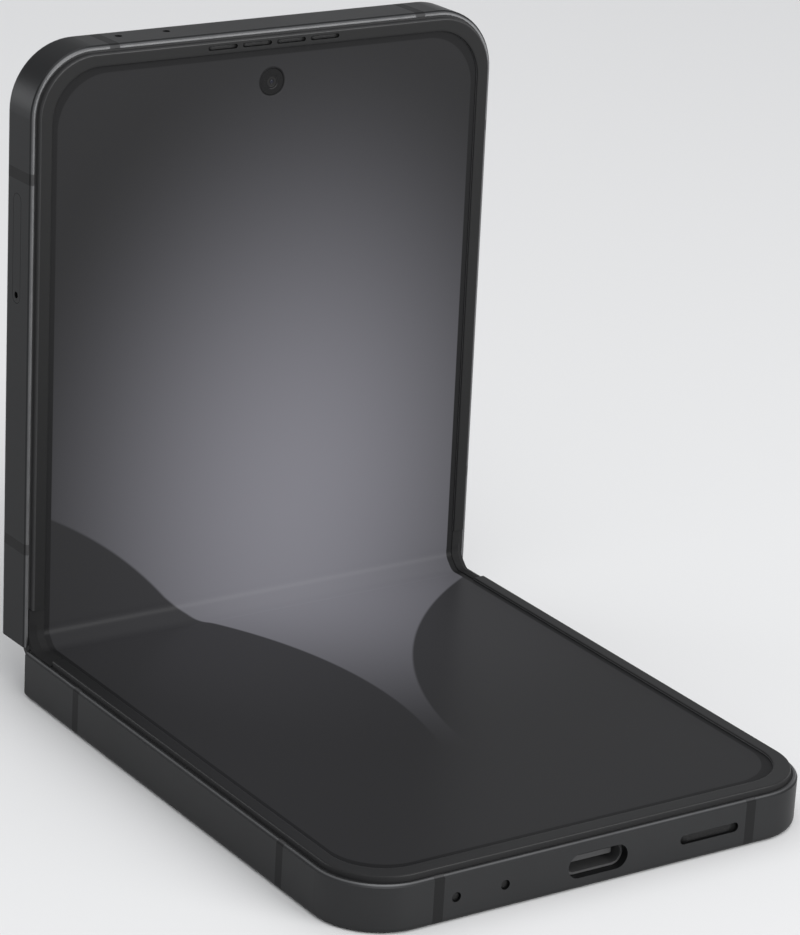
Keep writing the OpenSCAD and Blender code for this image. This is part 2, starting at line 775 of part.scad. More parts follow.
module wing_plate() block([-wing_x, wing_x], [fold_y, hinge_seat_y - hair], [arm_top, seat_z]);

module lower_wing_plate() color(steel) lower() wing_plate();
module lower_rotators() color(steel) lower() rotators(lower_rail_x);
module lower_hinge_screws() color(black_plastic) lower() hinge_screws(lower_rail_x);
module upper_wing_plate() color(steel) upper() wing_plate();
module upper_rotators() color(steel) upper() rotators(upper_rail_x);
module upper_hinge_screws() color(black_plastic) upper() hinge_screws(upper_rail_x);

// ---- Inside the lower half ----

// The space between the rims, for pieces that follow the rounded corners
module inside_rim() slab(-frame_t, 0) plan(rim_w + inner_gap, 0);

module battery(ends, bottom) block([-battery_x, battery_x], ends, [bottom + battery_room, battery_top]);

module lower_battery() color(black_plastic) lower() battery(battery_y, glass_z + coil_t);

module charging_coil() color(gold) lower()
  translate([0, (battery_y[0] + battery_y[1]) / 2, glass_z]) difference() {
    cylinder(r = coil_r, h = coil_t);
    translate([0, 0, -1]) cylinder(r = coil_hole_r, h = coil_t + 2);
  }

// Magnets at the sides that hold the phone shut
module magnets() both_sides() block(magnet_x, magnet_y, [plate_z - magnet_h, plate_z]);

module lower_magnets() color(steel) lower() magnets();

module sub_board() color(board_green) lower() intersection() {
  block([-lower_board_x, lower_board_x], sub_board_y, [port_floor - board_t, port_floor]);
  inside_rim();
}

// Straight run of the flex cable under a half's plate
module flex_run(end_y) block([-flex_w / 2, flex_w / 2], [fold_y, end_y], [flex_top - flex_t, flex_top]);

module flex_plug(board_end, z0, z1)
  block([-plug_w / 2, plug_w / 2], [board_end + 0.2 * plug_l, board_end + 1.2 * plug_l], [z0, z1]);

module lower_flex_cable() color(gold) lower() {
  low_z = port_floor + flex_lift;
  flex_run(flex_turn_y + flex_t);
  block([-flex_w / 2, flex_w / 2], [flex_turn_y, flex_turn_y + flex_t], [low_z, flex_top]);
  block([-flex_w / 2, flex_w / 2], [flex_turn_y, sub_board_y[0] + 1.2 * plug_l],
    [low_z, low_z + flex_t]);
  flex_plug(sub_board_y[0], port_floor, low_z + cut);
}

module usb_port() color(steel) lower() translate([0, 0, -port_depth]) {
  difference() {
    along_y(far_y - port_l, port_l - port_recess) slot_2d(port_w, port_h);
    along_y(far_y - port_l + port_wall, port_l) slot_2d(port_w - 2 * port_wall, port_h - 2 * port_wall);
  }
  block([-tongue[0] / 2, tongue[0] / 2], [far_y - port_l + cut, far_y - port_recess - tongue_drop],
    [-tongue[1] / 2, tongue[1] / 2]);
}

module loudspeaker() color(black_plastic) lower() intersection() {
  block([speaker_x - speaker_reach[0], speaker_x + speaker_reach[1]], [speaker_body_y, far_y],
    [port_floor, plate_z - inner_gap]);
  inside_rim();
}

module loudspeaker_mesh() color(steel) lower() translate([speaker_x, 0, -port_depth])
  along_y(far_y - rim_w + mesh_back, mesh_t) slot_2d(speaker_l, speaker_h);

// Microphones behind their holes, between two heights
module microphones(z) {
  for (x = mic_x) block([x - mic_body, x + mic_body],
    [far_y - rim_w - inner_gap - mic_l, far_y - rim_w - inner_gap], z);
}

module lower_microphones() color(steel) lower() microphones([port_floor, mic_h / 2 - port_depth]);

module vibration_motor() color(steel) lower()
  block([-lower_board_x, motor_l[0] - lower_board_x], [speaker_body_y, speaker_body_y + motor_l[1]],
    [port_floor, port_floor + motor_h]);

// ---- Inside the upper half ----

module upper_battery() color(black_plastic) upper()
  battery([battery_start, board_y[0] - 2], glass_z + cover_display_t);

module upper_magnets() color(steel) upper() magnets();

module main_board() color(board_green) upper() difference() {
  intersection() {
    block(board_x, board_y, [board_z - board_t, board_z]);
    inside_rim();
  }
  for (x = camera_x) block([x - camera_body / 2 - camera_room, x + camera_body / 2 + camera_room],
    [camera_y - camera_body / 2 - camera_room, far_y], [board_z - 1, board_z + 1]);
  block([-front_box[0] - camera_room, front_box[0] + camera_room],
    [punch_y - front_box[0] - camera_room, far_y], [board_z - 1, board_z + 1]);
}

module upper_flex_cable() color(gold) upper() {
  flex_run(board_y[0] + 1.2 * plug_l);
  flex_plug(board_y[0], board_z, flex_top - flex_t + cut);
}

module board_shields() color(steel) upper() for (i = [0, 1])
  translate([shield_x[0] + i * (shield_w + shield_gap), 0, 0])
    block([0, shield_w], shield_y, [board_z - board_t - shield_h, board_z - board_t]);

module cover_display() color(screen_black) upper()
  block([-lower_board_x, lower_board_x], cover_display_y, [glass_z, glass_z + cover_display_t]);

module at_cameras() for (x = camera_x) translate([x, camera_y, -frame_t]) children();

module rear_camera_modules() color(black_plastic) upper() at_cameras() {
  block([-camera_body / 2, camera_body / 2], [-camera_body / 2, camera_body / 2],
    [glass_t + camera_step, frame_t + plate_z - inner_gap]);
  translate([0, 0, lens_t + lens_drop - ring_out])
    cylinder(r = lens_r - camera_step, h = glass_t + ring_out);
}

// Camera rings: a collar on the glass with chamfered edges and a foot through it
module camera_rings() color(graphite) upper() at_cameras() rotate_extrude($fn = 96) polygon([
  [lens_r, glass_t], [lens_r, ring_chamfer - ring_out], [lens_r + ring_chamfer, -ring_out],
  [ring_r - ring_chamfer, -ring_out], [ring_r, ring_chamfer - ring_out], [ring_r, 0],
  [lens_r + ring_seat, 0], [lens_r + ring_seat, glass_t]]);

module camera_lenses() color(screen_black) upper() at_cameras()
  translate([0, 0, lens_drop - ring_out]) cylinder(r = lens_r, h = lens_t, $fn = 96);

module flash_window() color(lamp_white) upper() translate([flash_x, flash_y, -frame_t])
  cylinder(r = flash_r, h = glass_t);

module front_camera() color(black_plastic) upper() translate([0, punch_y, 0]) {
  translate([0, 0, front_box_z[0]]) cylinder(r = front_camera_r, h = front_camera_l);
  block([-front_box[0], front_box[0]], [-front_box[0], front_box[1]], front_box_z);
}

module earpiece_speaker() color(black_plastic) upper()
  block([-ear_body[0], ear_body[0]], [far_y - ear_body[1], far_y - rim_w - inner_gap],
    [plate_z - ear_body[2], plate_z]);

module upper_microphones() color(steel) upper()
  microphones([-port_depth - upper_mic_drop - mic_h / 2, -port_depth - upper_mic_drop + mic_h / 2]);

// ---- SIM tray ----

module tray_space(gap) {
  along_x(-side_x - 1, 1 + face_t + gap) translate([tray_mid, tray_z])
    slot_2d(tray_l + 2 * gap, tray_h + 2 * gap);
  block([-side_x, -inner_x + 1], [tongue_y[0] - gap, tongue_y[1] + gap],
    [tray_z - tray_t / 2 - gap, tray_z + tray_t / 2 + gap]);
}

module sim_tray() color(graphite) upper() difference() {
  union() {
    along_x(-side_x, face_t) translate([tray_mid, tray_z]) slot_2d(tray_l, tray_h);
    block([-side_x + face_t - cut, -side_x + tray_depth], tongue_y,
      [tray_z - tray_t / 2, tray_z + tray_t / 2]);
  }
  block([-side_x + card_in[0], -side_x + card_in[1]], [tongue_y[0] + card_edge, tongue_y[1] - card_edge],
    [tray_z - 1, tray_z + 1]);
  along_x(-side_x - 1, 3) translate([pin_hole_y, tray_z]) circle(pin_hole_r);
}

// The reader's case, open towards the tray
module sim_reader() color(steel) upper() difference() {
  block([-inner_x + inner_gap, reader_end + reader_wall],
    [tongue_y[0] - inner_gap - reader_wall, tongue_y[1] + inner_gap + reader_wall],
    [tray_z - tray_t / 2 - reader_wall, board_z - board_t]);
  block([-inner_x - 1, reader_end],
    [tongue_y[0] - inner_gap, tongue_y[1] + inner_gap],
    [tray_z - tray_t / 2 - inner_gap, tray_z + tray_t / 2 + inner_gap]);
}

// ---- Keys ----

module key_outline(y0, length, extra) translate([y0 + length / 2, key_z])
  slot_2d(length + 2 * extra, key_h + 2 * extra);

module key_space(y0, length)
  along_x(inner_x - 1, rim_w + 2) key_outline(y0, length, insert_gap);

module key(y0, length) {
  along_x(inner_x - flange_gap - cut, side_x + key_out - inner_x + flange_gap + cut)
    key_outline(y0, length, 0);
  along_x(inner_x - flange_gap - flange_t, flange_t) key_outline(y0, length, flange);
}

module power_key() color(graphite) upper() key(power_y, power_l);
module volume_key() color(graphite) upper() key(volume_y, volume_l);

module key_switches() color(steel) upper()
  for (y = [power_y + power_l / 2, volume_y + switch_in, volume_y + volume_l - switch_in])
    translate([inner_x - flange_gap - flange_t - switch_gap - switch_box[0], y - switch_box[1] / 2,
      key_z - 1]) cube(switch_box);

lower_frame();
lower_back_glass();
lower_bezel();
lower_display_panel();
lower_antenna_bands();
lower_battery();
sub_board();
usb_port();
loudspeaker();
loudspeaker_mesh();
lower_microphones();
vibration_motor();
charging_coil();
lower_magnets();
lower_flex_cable();
lower_wing_plate();
lower_rotators();
lower_hinge_screws();
spine_cover();
spine_end_caps();
hinge_brackets();
gear_shafts();
disc_springs();
fold_support();
fold_guards();
display_fold();
hinge_flex_cable();
lower_sync_arms();
lower_idler_gears();
upper_idler_gears();
upper_sync_arms();
upper_frame();
cover_glass();
upper_bezel();
upper_display_panel();
upper_antenna_bands();
upper_battery();
upper_magnets();
upper_flex_cable();
main_board();
board_shields();
cover_display();
rear_camera_modules();
camera_rings();
camera_lenses();
flash_window();
front_camera();
earpiece_speaker();
earpiece_mesh();
upper_microphones();
upper_wing_plate();
upper_rotators();
upper_hinge_screws();
sim_reader();
sim_tray();
volume_key();
power_key();
key_switches();
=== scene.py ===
# %% [markdown]
# # A foldable phone, half open
# The phone lies on its lower half with the upper half raised, like a tiny laptop. Every rigid piece
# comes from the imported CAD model, which is already in metres and in its place. What is made here is
# what CAD draws stiffly: the screen that bends, the rounded plastic bezels, and every finish.

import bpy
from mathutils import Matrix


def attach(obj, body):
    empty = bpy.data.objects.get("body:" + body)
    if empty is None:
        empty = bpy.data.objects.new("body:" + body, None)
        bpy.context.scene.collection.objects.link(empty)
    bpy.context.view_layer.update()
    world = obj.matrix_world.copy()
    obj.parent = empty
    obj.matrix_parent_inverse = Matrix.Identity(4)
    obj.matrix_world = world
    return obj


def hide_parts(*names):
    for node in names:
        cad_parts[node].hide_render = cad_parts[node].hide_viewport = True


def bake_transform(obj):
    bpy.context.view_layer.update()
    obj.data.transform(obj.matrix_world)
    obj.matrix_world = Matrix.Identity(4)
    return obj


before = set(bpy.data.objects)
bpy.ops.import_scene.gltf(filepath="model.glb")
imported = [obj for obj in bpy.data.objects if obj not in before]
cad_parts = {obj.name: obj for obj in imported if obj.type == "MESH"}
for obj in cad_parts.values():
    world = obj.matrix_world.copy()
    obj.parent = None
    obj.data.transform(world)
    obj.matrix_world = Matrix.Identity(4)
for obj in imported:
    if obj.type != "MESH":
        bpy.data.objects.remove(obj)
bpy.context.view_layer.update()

# %% Tools
import math

import bmesh
import bpy
import numpy as np
from mathutils import Matrix

MM = 0.001


def add_object(name, data, axes=None):
    """Links a new object; axes holds its own x, y and z directions and its place, as four columns."""
    made = bpy.data.objects.new(name, data)
    if axes is not None:
        made.matrix_world = Matrix(np.vstack([np.column_stack(axes), [0, 0, 0, 1]]).tolist())
    bpy.context.scene.collection.objects.link(made)
    return made

# %% [markdown]
# ## The camera
# Long lenses flatten a small product and keep its edges nearly parallel. The camera stands about half
# a metre away, up and to the left of the charging port, and is tipped by a few degrees. A little shift
# centres the phone in a tall frame without turning the camera.

# %% Place the camera
SENSOR = 36.0
FRAME_W, FRAME_H = 800, 935
FOCAL_PX = 3866.0
CENTRE_PX = (420.5, 433.5)
camera_at = np.array([-267.41, -381.08, 212.5]) * MM
yaw, pitch, roll = np.radians([34.859, 19.702, 3.42])

forward = np.array([np.sin(yaw) * np.cos(pitch), np.cos(yaw) * np.cos(pitch), -np.sin(pitch)])
level = np.array([np.cos(yaw), -np.sin(yaw), 0.0])
above = np.cross(level, forward)
right = np.cos(roll) * level + np.sin(roll) * above
up = -np.sin(roll) * level + np.cos(roll) * above

lens = bpy.data.cameras.new("camera")
lens.sensor_width = SENSOR
lens.lens = FOCAL_PX * SENSOR / FRAME_H
lens.shift_x = (FRAME_W / 2 - CENTRE_PX[0]) / FRAME_H
lens.shift_y = (CENTRE_PX[1] - FRAME_H / 2) / FRAME_H
lens.clip_start = 0.01
bpy.context.scene.camera = add_object("camera", lens, (right, up, -forward, camera_at))
print("lens", round(lens.lens, 1), "mm, shift", round(lens.shift_x, 3), round(lens.shift_y, 3))

# %% [markdown]
# ## The light
# A dark matte object needs big, even sources: small lamps would draw hard glints on the metal. One wide
# panel above the screen side gives the edges their thin light lines, one on the left and one in front
# lift the sides of the frame. A pale sky, made after the shader helpers, fills everything else.

# %% Light the table
def light_panel(name, place, target, size, power):
    """A square area light at one point, turned so that its -Z axis runs towards the target."""
    panel = bpy.data.lights.new(name, "AREA")
    panel.shape, panel.size, panel.energy = "SQUARE", size, power
    back = np.array(place, float) - np.array(target, float)
    back /= np.linalg.norm(back)
    side = np.cross([0, 0, 1.0], back)
    side /= np.linalg.norm(side)
    return add_object(name, panel, (side, np.cross(back, side), back, place))


middle = (0.0, 0.0, 0.04)
light_panel("panel_above", (-0.10, -0.35, 0.75), middle, 0.6, 1.7)
light_panel("panel_left", (-0.55, 0.66, 0.12), middle, 0.3, 1.0)
light_panel("panel_front", (0.35, -0.80, 0.20), middle, 0.5, 6.5)
bpy.context.scene.view_settings.view_transform = "Standard"

# %% [markdown]
# ## Grids and meshes
# Every new surface below is a grid: an array of points with rows and columns. Numpy works out all
# points at once, and one helper turns such an array into a mesh with its own UV map.

# %% Turn arrays into pieces
EDGE_ANGLE = 32


def grid_faces(rows, columns, closed=False):
    """Quads of a grid; point (i, j) has the number i * columns + j. Closed joins its last and first columns."""
    i = np.arange(rows - 1)[:, None]
    j = np.arange(columns if closed else columns - 1)[None, :]
    k = (j + 1) % columns
    corners = [i * columns + j, i * columns + k, (i + 1) * columns + k, (i + 1) * columns + j]
    return np.stack([c + 0 * (i + j) for c in corners], -1).reshape(-1, 4)


def tube_faces(rows, columns):
    """A closed grid with a flat cap on its first and its last row, all wound the same way."""
    last = (rows - 1) * columns
    caps = [[*range(columns)], [*range(last, last + columns)][::-1]]
    return grid_faces(rows, columns, closed=True).tolist() + caps


def both_sides(points, faces):
    """A shape and its image on the phone's other side, where a face's points run the other way round."""
    image_faces = [[i + len(points) for i in f[::-1]] for f in faces]
    return np.concatenate([points, points * [-1, 1, 1]]), faces + image_faces


def make_piece(name, points, faces, uv=None):
    """A smooth mesh object from points in millimetres; uv holds one pair for each point."""
    mesh = bpy.data.meshes.new(name)
    mesh.from_pydata((np.asarray(points) * MM).tolist(), [], [list(map(int, f)) for f in faces])
    mesh.polygons.foreach_set("use_smooth", np.ones(len(mesh.polygons), bool))
    if uv is not None:
        corner_vertex = np.empty(len(mesh.loops), np.int32)
        mesh.loops.foreach_get("vertex_index", corner_vertex)
        layer = mesh.uv_layers.new(name="UVMap")
        layer.data.foreach_set("uv", np.asarray(uv, np.float32)[corner_vertex].ravel())
    mesh.update()
    return add_object(name, mesh)


def recalculated(piece, sharp=None):
    """Merges doubled points, turns all faces of a closed mesh outwards, and marks edges over sharp degrees."""
    work = bmesh.new()
    work.from_mesh(piece.data)
    bmesh.ops.remove_doubles(work, verts=work.verts, dist=1e-7)
    bmesh.ops.recalc_face_normals(work, faces=work.faces)
    work.to_mesh(piece.data)
    work.free()
    if sharp:
        piece.data.set_sharp_from_angle(angle=math.radians(sharp))
    return piece


FLOOR_SIZE = 4000.0
floor_corners = np.array([[-1, -1, 0], [1, -1, 0], [1, 1, 0], [-1, 1, 0]]) * FLOOR_SIZE
floor = make_piece("floor", floor_corners, [(0, 1, 2, 3)])
print("floor made")

# %% [markdown]
# ## Where things are
# Each half is easiest to think of on its own: x across, u away from the fold, v up from the rim's lip.
# The lower half only needs shifting. The upper half is the lower one mirrored in the plane that stands
# midway between the two hinge axes, so one formula serves both.

# %% Two halves, one mirror
FOLD_Y = 41.525
FRAME_T = 6.53
SIDE_X, FAR_U = 35.95, 82.55
AXIS_A = np.array([39.87, 5.795])
AXIS_B = np.array([42.23086, 8.11501])
HALF_FOLD = math.radians(44.5)
fold_middle = (AXIS_A + AXIS_B) / 2
fold_normal = (AXIS_B - AXIS_A) / np.linalg.norm(AXIS_B - AXIS_A)


def on_lower(x, u, v):
    """Points of the lower half: y falls as u grows, and v is added to the frame's thickness."""
    x, u, v = np.broadcast_arrays(np.asarray(x, float), u, v)
    return np.stack([x, FOLD_Y - u, FRAME_T + v], -1)


def mirrored(points):
    """Points seen in the fold's mirror plane: p minus twice its distance from the plane along the normal."""
    out = np.array(points, float)
    away = (out[..., 1:] - fold_middle) @ fold_normal
    out[..., 1:] -= 2 * away[..., None] * fold_normal
    return out


def on_upper(x, u, v):
    """Points of the upper half: the lower half's points in the mirror."""
    return mirrored(on_lower(x, u, v))


print("upper end of the phone:", on_upper(0, FAR_U, 0).round(2))

# %% [markdown]
# ## Shader groups
# Several finishes share the same small effects: fine grain, a painted highlight on the lip and finger marks.
# Each is a node group built once. A group hands out only colours, masks and values. The Principled shader that
# uses them stays in each material.

# %% A helper for groups and materials
def new_group(name, inputs, outputs):
    """An empty shader group, its input sockets and its output node; a socket is (name, kind, value if any)."""
    group = bpy.data.node_groups.new(name, "ShaderNodeTree")
    for direction, sockets in (("INPUT", inputs), ("OUTPUT", outputs)):
        for label, kind, *value in sockets:
            socket = group.interface.new_socket(label, in_out=direction, socket_type=f"NodeSocket{kind}")
            if value:
                socket.default_value = value[0]
    return group, group.nodes.new("NodeGroupInput").outputs, group.nodes.new("NodeGroupOutput")


def feed(tree, node, **values):
    """Fills or links a node's inputs: a _ in a key is a space, and i6 is the input with number 6."""
    for key, value in values.items():
        label = key.replace("_", " ")
        socket = node.inputs[int(label[1:]) if label[0] == "i" and label[1:].isdigit() else label]
        if isinstance(value, bpy.types.NodeSocket):
            tree.links.new(value, socket)
        else:
            socket.default_value = value
    return node


def put(tree, kind, settings=None, **values):
    """Adds a node, sets its properties and feeds its inputs."""
    made = tree.nodes.new(kind)
    for key, value in (settings or {}).items():
        setattr(made, key, value)
    return feed(tree, made, **values)


def sums(tree, operation, a, b=0.0, c=0.0):
    """One Math node; its answer is the returned socket."""
    return put(tree, "ShaderNodeMath", {"operation": operation}, i0=a, i1=b, i2=c).outputs[0]


def product(tree, first, *others):
    """All the values multiplied."""
    for other in others:
        first = sums(tree, "MULTIPLY", first, other)
    return first


def vectors(tree, operation, a, b=(0, 0, 0), c=(0, 0, 0)):
    """One Vector Math node; a dot product or a length is a number, and other answers are vectors."""
    node = put(tree, "ShaderNodeVectorMath", {"operation": operation}, i0=a, i1=b, i2=c)
    return node.outputs["Value" if operation in ("DOT_PRODUCT", "LENGTH") else "Vector"]


def parts_of(tree, vector):
    """The x, y and z sockets of a vector."""
    return put(tree, "ShaderNodeSeparateXYZ", Vector=vector).outputs


def noise(tree, vector, scale, **more):
    """The value of a noise texture."""
    return put(tree, "ShaderNodeTexNoise", Vector=vector, Scale=scale, **more).outputs[0]


def bump(tree, height, strength, distance):
    """A normal that follows a height."""
    return put(tree, "ShaderNodeBump", Height=height, Strength=strength, Distance=distance).outputs[0]


def ramp(tree, value, low, high, to_low=0.0, to_high=1.0):
    """A smooth step of a value: to_low below low, to_high above high."""
    return put(tree, "ShaderNodeMapRange", {"interpolation_type": "SMOOTHSTEP"}, Value=value, From_Min=low,
               From_Max=high, To_Min=to_low, To_Max=to_high).outputs["Result"]


def band(tree, value, start_in, full_in, full_out, end_out):
    """One from full_in to full_out, fading to nothing at start_in and end_out."""
    return product(tree, ramp(tree, value, start_in, full_in), ramp(tree, value, full_out, end_out, 1.0, 0.0))


def mix_colours(tree, amount, a, b):
    """A mix of two colours: all a at 0 and all b at 1."""
    a, b = ((*colour, 1.0) if isinstance(colour, tuple) else colour for colour in (a, b))
    return put(tree, "ShaderNodeMix", {"data_type": "RGBA"}, i0=amount, i6=a, i7=b).outputs[2]


def corner_reach(tree, a, b, half_a, half_b, corner):
    """Distance past a rounded rectangle's inner cross: it equals corner all along the edge."""
    past = [sums(tree, "MAXIMUM", sums(tree, "SUBTRACT", sums(tree, "ABSOLUTE", axis), half - corner), 0.0)
            for axis, half in ((a, half_a), (b, half_b))]
    return sums(tree, "SQRT", sums(tree, "ADD", *(product(tree, p, p) for p in past)))


print("helpers ready")

# %% [markdown]
# ## The sky
# A room is not equally bright in every direction: light comes from above and runs low along a pale
# floor and walls, with a dimmer belt between. That belt is what flat tops reflect when they are seen
# from a low angle, so it keeps the screen and the upper rim dark, and it draws a soft gradient round
# every corner of the metal.

# %% A sky with a dimmer belt
BELT, ROUND_BELT = 0.42, 0.55
world = bpy.data.worlds.new("studio")
world.use_nodes = True
bpy.context.scene.world = world
sky_tree = world.node_tree
upward = parts_of(sky_tree, sky_tree.nodes.new("ShaderNodeTexCoord").outputs["Generated"])[2]
low_light = ramp(sky_tree, upward, 0.06, 0.26, 1.0, 0.0)
high_light = ramp(sky_tree, upward, 0.36, 0.75, 0.0, 0.75)
strength = sums(sky_tree, "MULTIPLY_ADD", sums(sky_tree, "ADD", low_light, high_light), ROUND_BELT, BELT)
feed(sky_tree, sky_tree.nodes["Background"], Color=(0.97, 0.98, 1.0, 1.0), Strength=strength)
print("sky: 0.42 in the belt, 0.97 below it and 0.83 above it")

# %% Group: fine grain
def fine_grain_group():
    """Two noises: a fine one for the surface's height, and a broad one that shifts the shade a little."""
    tree, given, out = new_group(
        "fine_grain",
        [("Vector", "Vector"), ("Colour", "Color", (0.1, 0.1, 0.1, 1)), ("Size", "Float", 3000.0),
         ("Mottle", "Float", 0.06), ("Roughness", "Float", 0.5), ("Spread", "Float", 0.06)],
        [("Colour", "Color"), ("Roughness", "Float"), ("Height", "Float")])
    fine = noise(tree, given["Vector"], given["Size"], Detail=3.0, Roughness=0.6)
    broad = noise(tree, given["Vector"], 70.0, Detail=4.0)
    grain, swing = (sums(tree, "SUBTRACT", value, 0.5) for value in (fine, broad))
    mottle = product(tree, sums(tree, "MULTIPLY_ADD", swing, 2.0, grain), given["Mottle"])
    shade = sums(tree, "ADD", 1.0, mottle)
    tint = put(tree, "ShaderNodeVectorMath", {"operation": "SCALE"}, i0=given["Colour"], Scale=shade)
    rough = sums(tree, "MULTIPLY_ADD", swing, given["Spread"], given["Roughness"])
    feed(tree, out, Colour=tint.outputs[0], Roughness=rough, Height=fine)
    return tree


fine_grain = fine_grain_group()
print("group:", fine_grain.name)

# %% Group: painted lip highlight
def painted_lip_highlight_group():
    """A mask for the painted highlight on the lip's narrow top: faces that look the screen's way at its height,
    broken up by noise.
    """
    tree, given, out = new_group(
        "painted_lip_highlight",
        [("Vector", "Vector"), ("Normal", "Vector"), ("Way Up", "Vector", (0, 0, 1)),
         ("Lip Height", "Float", 0.0), ("Wear", "Float", 0.5)],
        [("Mask", "Float")])
    lean = vectors(tree, "DOT_PRODUCT", given["Normal"], given["Way Up"])
    height = vectors(tree, "DOT_PRODUCT", given["Vector"], given["Way Up"])
    drop = sums(tree, "SUBTRACT", given["Lip Height"], height)
    flat = ramp(tree, lean, 0.5, 0.68)
    at_lip = ramp(tree, drop, 0.0001, 0.00022, 1.0, 0.0)
    # Noise breaks up the painted highlight a little.
    highlight_noise = noise(tree, given["Vector"], 260.0, Detail=6.0, Roughness=0.65)
    broken = ramp(tree, highlight_noise, 0.25, 0.7, 0.75, 1.0)
    feed(tree, out, Mask=product(tree, flat, at_lip, broken, given["Wear"]))
    return tree


painted_lip_highlight = painted_lip_highlight_group()
print("group:", painted_lip_highlight.name)

# %% Group: finger marks
def finger_marks_group():
    """Soft smears for glossy faces: a stretched noise lifts the roughness in patches, a fine one adds dust."""
    tree, given, out = new_group(
        "finger_marks",
        [("Vector", "Vector"), ("Clean", "Float", 0.05), ("Smeared", "Float", 0.16)],
        [("Roughness", "Float"), ("Dust", "Float")])
    patch = ramp(tree, noise(tree, given["Vector"], 55.0, Detail=5.0, Distortion=1.2), 0.42, 0.68)
    more = sums(tree, "SUBTRACT", given["Smeared"], given["Clean"])
    specks = put(tree, "ShaderNodeTexVoronoi", Vector=given["Vector"], Scale=420.0)
    feed(tree, out, Roughness=sums(tree, "MULTIPLY_ADD", patch, more, given["Clean"]),
         Dust=ramp(tree, specks.outputs["Distance"], 0.03, 0.09, 1.0, 0.0))
    return tree


finger_marks = finger_marks_group()
print("group:", finger_marks.name)

# %% [markdown]
# ## Finishes
# The frame is bead-blasted aluminium, anodised dark grey: a metal with a dull, even grain and a painted
# highlight along its lips. The two halves take a lighter and a darker copy of it, painted light and painted
# shade. The bezels and bands are dark moulded plastic. The bezels come in a lighter and a darker copy for the
# two halves, painted light and shade, with painted light on their walls, and bezels and bands carry painted
# highlights on their edges. The back glasses, the camera windows and the screen carry faint finger marks. Inner
# pieces get plain engineering finishes.

# %% Start a finish
GRAIN_DEPTH = 0.02 * MM


def new_finish(name, **shader):
    """A material with one Principled shader: the material, its tree, the shader and the texture coordinates."""
    material = bpy.data.materials.new(name)
    material.use_nodes = True
    tree = material.node_tree
    principled = feed(tree, tree.nodes["Principled BSDF"], **shader)
    return material, tree, principled, tree.nodes.new("ShaderNodeTexCoord").outputs


def grained(name, colour, size, mottle, roughness, spread, strength, **shader):
    """A finish with fine grain: shade, roughness and bump all come from the grain group."""
    material, tree, principled, place = new_finish(name, **shader)
    grain = put(tree, "ShaderNodeGroup", {"node_tree": fine_grain}, Vector=place["Object"],
                Colour=(*colour, 1.0), Size=size, Mottle=mottle, Roughness=roughness, Spread=spread).outputs
    feed(tree, principled, Base_Color=grain["Colour"], Roughness=grain["Roughness"],
         Normal=bump(tree, grain["Height"], strength, GRAIN_DEPTH))
    return material


def blasted(name, colour, roughness, metallic, **shader):
    """Bead-blasted and anodised aluminium."""
    return grained(name, colour, 5200.0, 0.10, roughness, 0.08, 0.25, Metallic=metallic, **shader)


def moulded(name, colour, roughness, specular):
    """Dark plastic from a mould with an even grain."""
    return grained(name, colour, 3600.0, 0.08, roughness, 0.1, 0.3, Specular_IOR_Level=specular)


def edge_lit(material, way_up, lip_height, bright, wear):
    """Mixes a painted highlight, a brighter shade, over the lip of a grained finish."""
    tree = material.node_tree
    place = tree.nodes["Texture Coordinate"].outputs
    mask = put(tree, "ShaderNodeGroup", {"node_tree": painted_lip_highlight}, Vector=place["Object"],
               Normal=place["Normal"], Way_Up=way_up, Lip_Height=lip_height, Wear=wear).outputs["Mask"]
    principled = tree.nodes["Principled BSDF"]
    base = principled.inputs["Base Color"].links[0].from_socket
    feed(tree, principled, Base_Color=mix_colours(tree, mask, base, bright))
    return material


LOWER_WAY = (0.0, 0.0, 1.0)
UPPER_WAY = (0.0, -math.sin(2 * HALF_FOLD), math.cos(2 * HALF_FOLD))
LOWER_LIP = FRAME_T * MM
UPPER_LIP = float(np.dot(on_upper(0, 0, 0), UPPER_WAY)) * MM
# EDGE is a painted highlight: a brighter colour mixed over the frame's lip.
EDGE, EDGE_TINT = (0.16, 0.161, 0.164), (0.7, 0.7, 0.7, 1.0)
# One anodised metal in two copies: the lower half's lighter base colour is painted light, the upper half's
# darker one is painted shade, and the upper lip's highlight is painted stronger.
lower_metal = edge_lit(blasted("graphite_lower", (0.038, 0.0385, 0.0395), 0.38, 0.85, Specular_Tint=EDGE_TINT),
                       LOWER_WAY, LOWER_LIP, EDGE, 0.68)
upper_metal = edge_lit(blasted("graphite_upper", (0.028, 0.0285, 0.0295), 0.38, 0.85, Specular_Tint=EDGE_TINT),
                       UPPER_WAY, UPPER_LIP, EDGE, 0.85)
spine_metal = blasted("graphite_spine", (0.022, 0.0225, 0.0235), 0.4, 0.9)
# The bezels are one moulded plastic: the lower bezel's lighter base colour is painted light, and the upper
# bezel's darker one is painted shade.
bezel_plastic = moulded("bezel_plastic", (0.0085, 0.0086, 0.0088), 0.5, 0.16)
lower_bezel_plastic = moulded("lower_bezel_plastic", (0.012, 0.0121, 0.0124), 0.5, 0.26)
# The rounds' lighter colour is a painted highlight along the bezels' outer edges.
bezel_painted_highlight_round = moulded("bezel_painted_highlight_round", (0.021, 0.021, 0.0215), 0.4, 0.35)
lower_bezel_painted_highlight_round = moulded("lower_bezel_painted_highlight_round", (0.013, 0.013, 0.0133), 0.45, 0.22)
